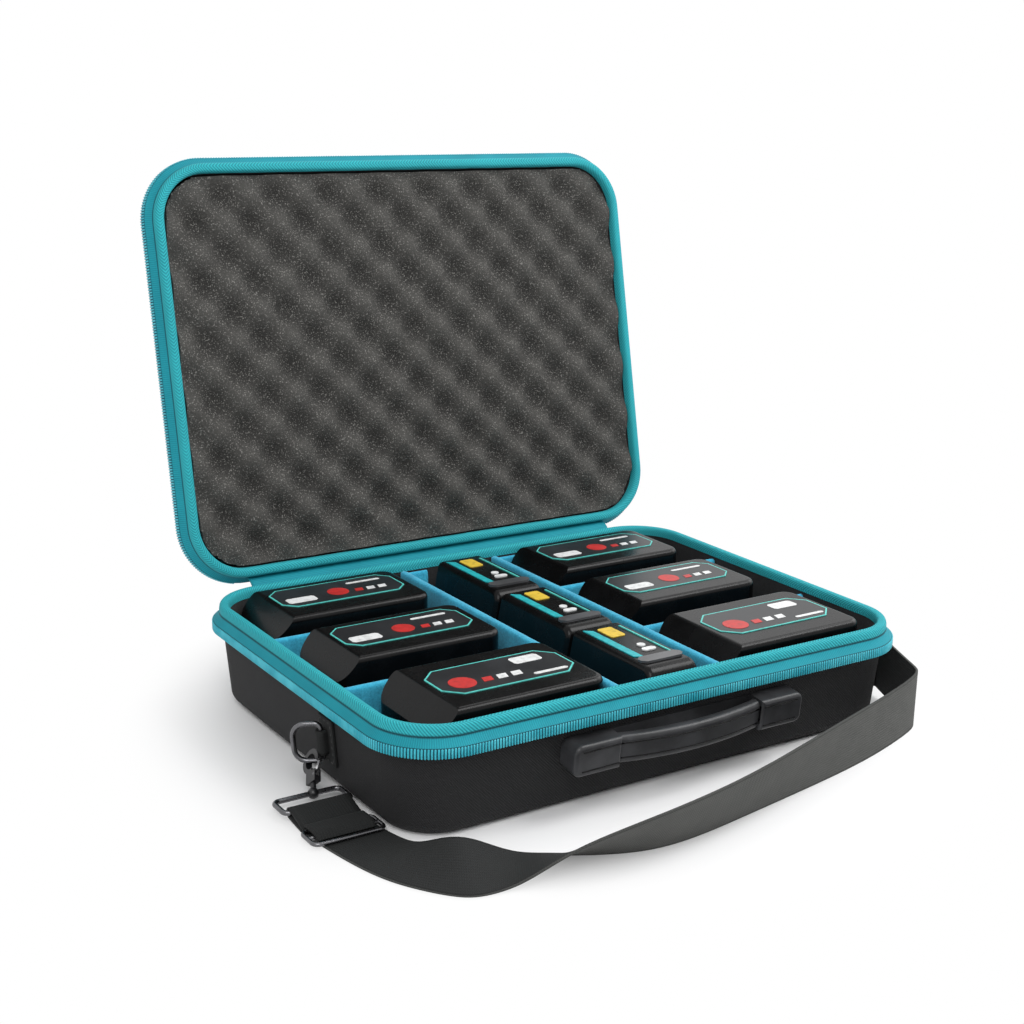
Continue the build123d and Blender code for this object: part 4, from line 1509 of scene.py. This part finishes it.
    def build(self) -> None:
        """Build the strap and its tabs, and dress the hardware."""
        self.build_strap()
        self.build_keeper()
        self.build_tabs()
        for side, _ in SIDES:
            self.shop.dress(GUNMETAL, f"{side}_strap_ring", f"{side}_strap_loop", f"{side}_gate_pin")
            self.shop.dress(BLACK_METAL, f"{side}_snap_hook")
            self.shop.dress(BRIGHT, f"{side}_hook_gate")
        self.shop.dress(GUNMETAL, "strap_slider")


@dataclass
class PaddedInside:
    """The lid's egg-crate foam and the felt dividers."""

    shop: Workshop
    rim: RimTrim
    foam_voxel: float = 0.0025
    foam_passes: int = 2
    crate_pitch: float = 0.020
    crate_floor: float = -0.0125
    crate_middle: Point = (-0.0046, -0.0070)
    crate_swing: Point = (0.0022, 0.0046)
    crate_border: float = 0.016
    crate_edge: float = 0.0118
    crate_lean: float = 0.62
    felt_voxel: float = 0.0010
    felt_passes: int = 4

    def crate(self, mesh: BMesh) -> None:
        """Raise a pad's face into even peaks and pits, lower where it meets the rim.

        Args:
            mesh: The softened pad, which is changed.
        """
        place = self.rim.place()
        back = place.inverted()
        for vert in mesh.verts:
            spot = back @ vert.co
            if spot.z < self.crate_floor:
                continue
            out, _ = self.shop.case.around(spot)
            inside = min(max((-out - self.crate_edge) / self.crate_border, 0), 1)
            ways = ((self.crate_lean, spot.x - spot.y), (1 - self.crate_lean, spot.x + spot.y))
            wave = sum(share * math.cos(math.pi * way / self.crate_pitch) for share, way in ways)
            middle, swing = (a + (b - a) * inside for a, b in (self.crate_middle, self.crate_swing))
            vert.co = place @ Vector((spot.x, spot.y, middle + swing * wave))
        bmesh.ops.remove_doubles(mesh, verts=mesh.verts, dist=self.foam_voxel / 4)

    def build(self) -> None:
        """Build the soft pieces inside the case."""
        foam = self.shop.soften("lid_foam", self.foam_voxel, self.foam_passes)
        self.crate(foam)
        place = self.rim.place()
        cells = CellFoam("egg_crate_foam", tuple(place.translation), tuple(place.to_3x3() @ UP))
        piece = self.shop.piece("foam_pad", foam, "lid", "egg_crate_foam", [cells], ["lid_foam"])
        for name in (f"{side}_{kind}" for side, _ in SIDES for kind in ("long", "front", "rear")):
            node = f"{name}_divider"
            mesh = self.shop.soften(node, self.felt_voxel, self.felt_passes)
            piece = self.shop.piece(f"{name}_felt", mesh, f"{node}_body", "divider_felt", [FELT], [node])


@dataclass
class Mark:
    """A flat shape on a pack: a plate raised a little from the face that it lies on."""

    outline: list[Point]
    thick: float = 0.0007
    rim: float = 0.0
    sink: float = 0.0004

    @classmethod
    def chamfered(cls, length: float, width: float, cut: float, **rest: float) -> Mark:
        """A rectangle with its corners cut off.

        Args:
            length: The length along X.
            width: The width along Y.
            cut: How much is cut from each corner.
            rest: The plate's other sizes.

        Returns:
            The mark.
        """
        a, b = length / 2, width / 2
        half = [(a, -b + cut), (a, b - cut), (a - cut, b), (-a + cut, b)]
        return cls(half + [(-x, -y) for x, y in half], **rest)

    @classmethod
    def pill(cls, length: float, width: float, steps: int = 10, **rest: float) -> Mark:
        """A bar with round ends, or a disc where it is as long as it is wide.

        Args:
            length: The length along X.
            width: The width along Y.
            steps: How many steps each round end has.
            rest: The plate's other sizes.

        Returns:
            The mark.
        """
        radius = width / 2
        outline = []
        for end in (1, -1):
            for step in range(steps + 1):
                angle = math.pi * step / steps - end * QUARTER
                x = end * (length / 2 - radius) + radius * math.cos(angle)
                outline.append((x, radius * math.sin(angle)))
        return cls(outline[:-1] if length == width else outline, **rest)

    @classmethod
    def slanted(cls, length: float, width: float, lean: float, **rest: float) -> Mark:
        """A bar whose ends lean over."""
        a, b = length / 2, width / 2
        return cls([(-a, -b), (a - lean, -b), (a, b), (-a + lean, b)], **rest)

    def add(self, mesh: BMesh, place: Matrix, ink: Ink, border: Ink) -> None:
        """Add the plate to a mesh.

        Args:
            mesh: The mesh to add to.
            place: The matrix from the mark's plane to the frame.
            ink: The face's finish.
            border: The finish of the border and the sides, where it has a border.
        """
        verts = [mesh.verts.new((x, y, -self.sink)) for x, y in self.outline]
        grown = bmesh.ops.extrude_face_region(mesh, geom=[mesh.faces.new(verts)])["geom"]
        top_verts = of_kind(grown, BMVert)
        top = of_kind(grown, BMFace)[0]
        bmesh.ops.translate(mesh, verts=top_verts, vec=UP * (self.sink + self.thick))
        made = {face for vert in [*verts, *top_verts] for face in vert.link_faces}
        if self.rim:
            inset = bmesh.ops.inset_region(mesh, faces=[top], thickness=self.rim, use_even_offset=True)
            made.update(inset["faces"])
        for face in made:
            face.material_index = (border if self.rim and face is not top else ink).number
        bmesh.ops.recalc_face_normals(mesh, faces=list(made))
        whole = list({vert for face in made for vert in face.verts})
        bmesh.ops.transform(mesh, matrix=place, verts=whole)


@dataclass
class Print:
    """A mark on a pack's top, placed from its middle, with the finishes of its face and border."""

    mark: Mark
    spot: Point
    ink: Ink
    border: Ink = Ink.LABEL
    turn: float = 0.0


def level_bars(size: Triple, start: Point, pitch: float) -> list[Print]:
    """Three slanted level bars in a row, the first one red."""
    inks = enumerate((Ink.RED, Ink.WHITE, Ink.WHITE))
    return [Print(Mark.slanted(*size), (start[0] + step * pitch, start[1]), ink) for step, ink in inks]


# The marks on the tops of the packs, each placed from the middle of the top.
SLIM_PRINTS = (
    Print(Mark.chamfered(0.092, 0.037, 0.008, thick=0.0005, rim=0.0009), (0.004, 0.004), Ink.LABEL, Ink.MINT),
    Print(Mark.chamfered(0.021, 0.0095, 0.0016), (-0.026, -0.003), Ink.WHITE),
    Print(Mark.pill(0.015, 0.015, steps=14), (0.003, 0.001), Ink.RED),
    *level_bars((0.0070, 0.0052, 0.0012), (0.0175, -0.002), 0.0088),
    Print(Mark.pill(0.026, 0.0028, steps=4), (0.028, 0.0135), Ink.WHITE),
)
TALL_PRINTS = (
    Print(Mark.chamfered(0.092, 0.040, 0.010, thick=0.0005, rim=0.0010), (0.006, 0.001), Ink.LABEL, Ink.MINT),
    Print(Mark.chamfered(0.020, 0.0100, 0.0016), (0.030, 0.011), Ink.WHITE),
    Print(Mark.pill(0.017, 0.017, steps=14), (-0.023, -0.004), Ink.RED),
    *level_bars((0.0080, 0.0060, 0.0014), (-0.007, -0.006), 0.0100),
    Print(Mark.pill(0.024, 0.0030, steps=4), (0.033, -0.0125), Ink.WHITE),
)
SMALL_PRINTS = (
    Print(Mark.slanted(0.058, 0.0055, 0.004, thick=0.0006), (-0.0112, 0.008), Ink.TEAL, turn=QUARTER),
    Print(Mark.chamfered(0.011, 0.017, 0.0012, thick=0.0006), (0.0005, 0.026), Ink.YELLOW),
    Print(Mark.pill(0.010, 0.0048, thick=0.0008), (0.003, -0.010), Ink.WHITE),
    Print(Mark.pill(0.0055, 0.0055, thick=0.0008), (0.003, -0.002), Ink.WHITE),
    Print(Mark.slanted(0.054, 0.0011, 0.0008), (0.0125, 0.007), Ink.MINT, turn=QUARTER),
    Print(Mark.chamfered(0.032, 0.009, 0.003, thick=0.0014, rim=0.0012), (0, -0.0255), Ink.LATCH, Ink.LATCH),
)
SIDE_BUTTON = Mark.pill(0.026, 0.013, steps=8, thick=0.0008, rim=0.0012)


@dataclass
class PackPrints:
    """The printed and moulded details on the packs, as plain generic shapes."""

    shop: Workshop
    rail_height: float = 0.022
    button_x: float = 0.036
    button_share: float = 0.45
    belt_height: float = 0.0012
    belt_proud: float = 0.0003
    large_belt: float = 0.60
    small_belt: float = 0.62

    def belt(self, mesh: BMesh, node: str, share: float) -> None:
        """Add the thin raised line where a pack's two halves meet, at a share of its height.

        Args:
            mesh: The marks' mesh to add to.
            node: The pack.
            share: The line's share of the pack's height.
        """
        low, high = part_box(node)
        middle = (low + high) / 2
        level = low.z + (high.z - low.z) * share
        band = self.shop.copy(node)
        for height, sign in ((level, -1), (level + self.belt_height, 1)):
            geom = [*band.verts, *band.edges, *band.faces]
            plane = {"plane_co": (0, 0, height), "plane_no": (0, 0, sign)}
            bmesh.ops.bisect_plane(band, geom=geom, clear_outer=True, **plane)
        for vert in band.verts:
            way = Vector((vert.co.x - middle.x, vert.co.y - middle.y, 0)).normalized()
            vert.co += way * self.belt_proud
        bmesh.ops.holes_fill(band, edges=[edge for edge in band.edges if edge.is_boundary], sides=0)
        bmesh.ops.recalc_face_normals(band, faces=band.faces)
        for face in band.faces:
            face.material_index = Ink.TRIM.number
        data = to_data("belt", band)
        mesh.from_mesh(data)
        bpy.data.meshes.remove(data)

    def side_grips(self, mesh: BMesh, node: str) -> None:
        """Add the release buttons on a large pack's two long sides.

        Args:
            mesh: The marks' mesh to add to.
            node: The pack.
        """
        low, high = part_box(node)
        rails = low.z + self.rail_height
        level = rails + (high.z - rails) * self.button_share
        for side, y in ((-1, low.y), (1, high.y)):
            seat = Matrix.Translation((low.x + self.button_x, y, level))
            SIDE_BUTTON.add(mesh, seat @ Matrix.Rotation(-side * QUARTER, 4, "X"), Ink.LABEL, Ink.TRIM)

    def dress(self, node: str, prints: Sequence[Print], small: bool = False) -> None:
        """Dress one pack with its prints, its belt and, on a large one, its buttons.

        Args:
            node: The pack.
            prints: The marks on its top.
            small: Whether it is one of the small packs.
        """
        mesh = bmesh.new()
        low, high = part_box(node)
        middle = (low + high) / 2
        for row in prints:
            x, y = row.spot
            seat = Matrix.Translation((middle.x + x, middle.y + y, high.z))
            row.mark.add(mesh, seat @ Matrix.Rotation(row.turn, 4, "Z"), row.ink, row.border)
        if not small:
            self.side_grips(mesh, node)
        self.belt(mesh, node, self.small_belt if small else self.large_belt)
        paints = [ink.value for ink in Ink]
        self.shop.piece(f"{node}_marks", mesh, f"{node}_body", "pack_plastic", paints)
        self.shop.dress(PACK, node)

    def build(self) -> None:
        """Dress all nine packs."""
        for column, _ in SIDES:
            self.dress(f"{column}_front_pack", TALL_PRINTS)
            self.dress(f"{column}_middle_pack", SLIM_PRINTS)
            self.dress(f"{column}_rear_pack", SLIM_PRINTS)
        for row in ("front", "middle", "rear"):
            self.dress(f"centre_{row}_pack", SMALL_PRINTS, small=True)


@dataclass
class HardParts:
    """The moulded and metal solids that stay in view as they are, and the handle's parting lines."""

    shop: Workshop
    handle_height: float = 0.0368
    grip_half: float = 0.0520
    grip_face: float = 0.0130
    grip_bow: float = 0.006
    cap_run: Point = (0.0545, 0.0810)
    cap_face: float = 0.0155
    line_width: float = 0.0009
    line_wall: float = 0.0005
    line_offset: Point = (0.0047, 0.0062)
    line_steps: int = 24

    def parting_line(self, name: str, body: str, spots: Sequence[Vector]) -> None:
        """Lay a thin line on the handle through points in its own frame.

        Args:
            name: The piece's name.
            body: The body that it rides on.
            spots: The line's points in the handle's frame.
        """
        frame = self.shop.case.wall(-REAR, self.handle_height, 0)
        rise = (frame.to_3x3() @ REAR).normalized()
        line = Ribbon([frame @ spot for spot in spots], [rise] * len(spots), self.line_width, columns=1)
        piece = self.shop.piece(name, line.mesh(), body, "handle_plastic", [PACK])
        line.thicken(piece, self.line_wall, levels=0)

    def build(self) -> None:
        """Dress the solids and line the handle."""
        self.shop.dress(LINING, "base_lining", "lid_lining")
        self.shop.dress(GRIP_PLASTIC, "handle_plate", "handle_left_cap", "handle_right_cap", "handle_grip")
        self.shop.dress(GUNMETAL, "handle_rivets")
        for side, _ in SIDES:
            self.shop.dress(GUNMETAL, f"{side}_zip_slider", f"{side}_zip_pull")
        grip_y, cap_y = self.line_offset
        radius = (self.grip_half**2 + self.grip_bow**2) / (2 * self.grip_bow)
        for edge, sign in (("upper", 1), ("lower", -1)):
            spots = []
            for step in range(self.line_steps + 1):
                x = self.grip_half * (2 * step / self.line_steps - 1)
                sag = radius - math.sqrt(radius**2 - x**2)
                spots.append(Vector((x, sign * grip_y, self.grip_face + self.grip_bow - sag)))
            self.parting_line(f"grip_{edge}_line", "grip", spots)
            for side, way in SIDES:
                ends = [Vector((way * x, sign * cap_y, self.cap_face)) for x in self.cap_run]
                self.parting_line(f"{side}_cap_{edge}_line", "case", ends)


@dataclass
class Studio:
    """The floor, the light and the camera."""

    shop: Workshop
    azimuth: float = math.radians(-32.95)
    elevation: float = math.radians(15.26)
    roll: float = math.radians(1.03)
    focal_pixels: float = 1617.5
    image_pixels: float = 1024.0
    aim_right: float = -0.02509
    aim_up: float = 0.13105
    distance: float = 1.09546
    sensor: float = 36.0
    nearest: float = 0.01
    floor_half: float = 6.0
    lamp_aim: Triple = (0, 0, 0.12)
    # Each lamp's place, power and size.
    lamps: tuple[tuple[Triple, float, float], ...] = (
        ((-1.1, -1.3, 1.7), 22.0, 1.2),
        ((0.85, -0.45, 1.35), 12.0, 0.7),
        ((1.7, 0.2, 1.2), 10.0, 1.2),
        ((0.9, 1.6, 1.7), 6.0, 1.4),
    )
    sky: float = 0.55

    def build_floor(self) -> None:
        """Lay the pale floor."""
        mesh = bmesh.new()
        bmesh.ops.create_grid(mesh, x_segments=2, y_segments=2, size=self.floor_half)
        data = to_data("studio_floor", mesh)
        data.materials.append(self.shop.finish(PalePaper()))
        stand(data.name, data)

    def build_light(self) -> None:
        """Hang the soft lamps and light the sky, which is plain white where it is looked at."""
        for index, (spot, power, size) in enumerate(self.lamps):
            lamp = bpy.data.lights.new(f"soft_lamp_{index}", "AREA")
            lamp.energy = power
            lamp.size = size
            holder = stand(lamp.name, lamp)
            holder.location = spot
            way = Vector(self.lamp_aim) - Vector(spot)
            holder.rotation_euler = way.to_track_quat("-Z", "Y").to_euler()
        world = bpy.data.worlds.new("studio_sky")
        board = Board(world.name, world)
        board.surface(color=(1.0, 1.0, 1.0), strength=board.seen() * (1 - self.sky) + self.sky)
        bpy.context.scene.world = world

    def build_camera(self) -> None:
        """Stand the camera where the photograph was taken."""
        level = math.cos(self.elevation)
        level_back = Vector((math.sin(self.azimuth), -math.cos(self.azimuth), 0)) * level
        back = level_back + UP * math.sin(self.elevation)
        right = UP.cross(back).normalized()
        rise = back.cross(right)
        turned_right = right * math.cos(self.roll) + rise * math.sin(self.roll)
        turned_rise = rise * math.cos(self.roll) - right * math.sin(self.roll)
        eye = turned_right * self.aim_right + turned_rise * self.aim_up + back * self.distance
        camera = bpy.data.cameras.new("photo_camera")
        camera.sensor_width = self.sensor
        camera.lens = self.focal_pixels / self.image_pixels * self.sensor
        camera.clip_start = self.nearest
        holder = stand(camera.name, camera)
        holder.matrix_world = frame_of(eye, turned_right, turned_rise, back)
        bpy.context.scene.camera = holder

    def build(self) -> None:
        """Set the stage."""
        self.build_floor()
        self.build_light()
        self.build_camera()
        bpy.context.scene.view_settings.view_transform = "Standard"


def clear_scene() -> None:
    """Remove what a new Blender file starts with."""
    for thing in list(bpy.data.objects):
        bpy.data.objects.remove(thing)


def main() -> None:
    """Load the frame, build every sub-assembly in order and set the stage."""
    logging.basicConfig(level=logging.INFO, format="%(message)s")
    clear_scene()
    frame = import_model()
    shop = Workshop(frame, CaseSizes())
    swing = next(joint for joint in frame["joints"] if joint["name"] == "lid_hinge")
    opened = math.radians(-min(swing["range_deg"]))
    rims = [RimTrim(shop, half, opened, Vector(swing["pos_m"])) for half in Half]
    Studio(shop).build()
    HardParts(shop).build()
    for rim in rims:
        rim.build()
    FabricHinge(shop, rims).build()
    PaddedInside(shop, rims[-1]).build()
    PackPrints(shop).build()
    ShoulderStrap(shop).build()


if __name__ == "__main__":
    main()
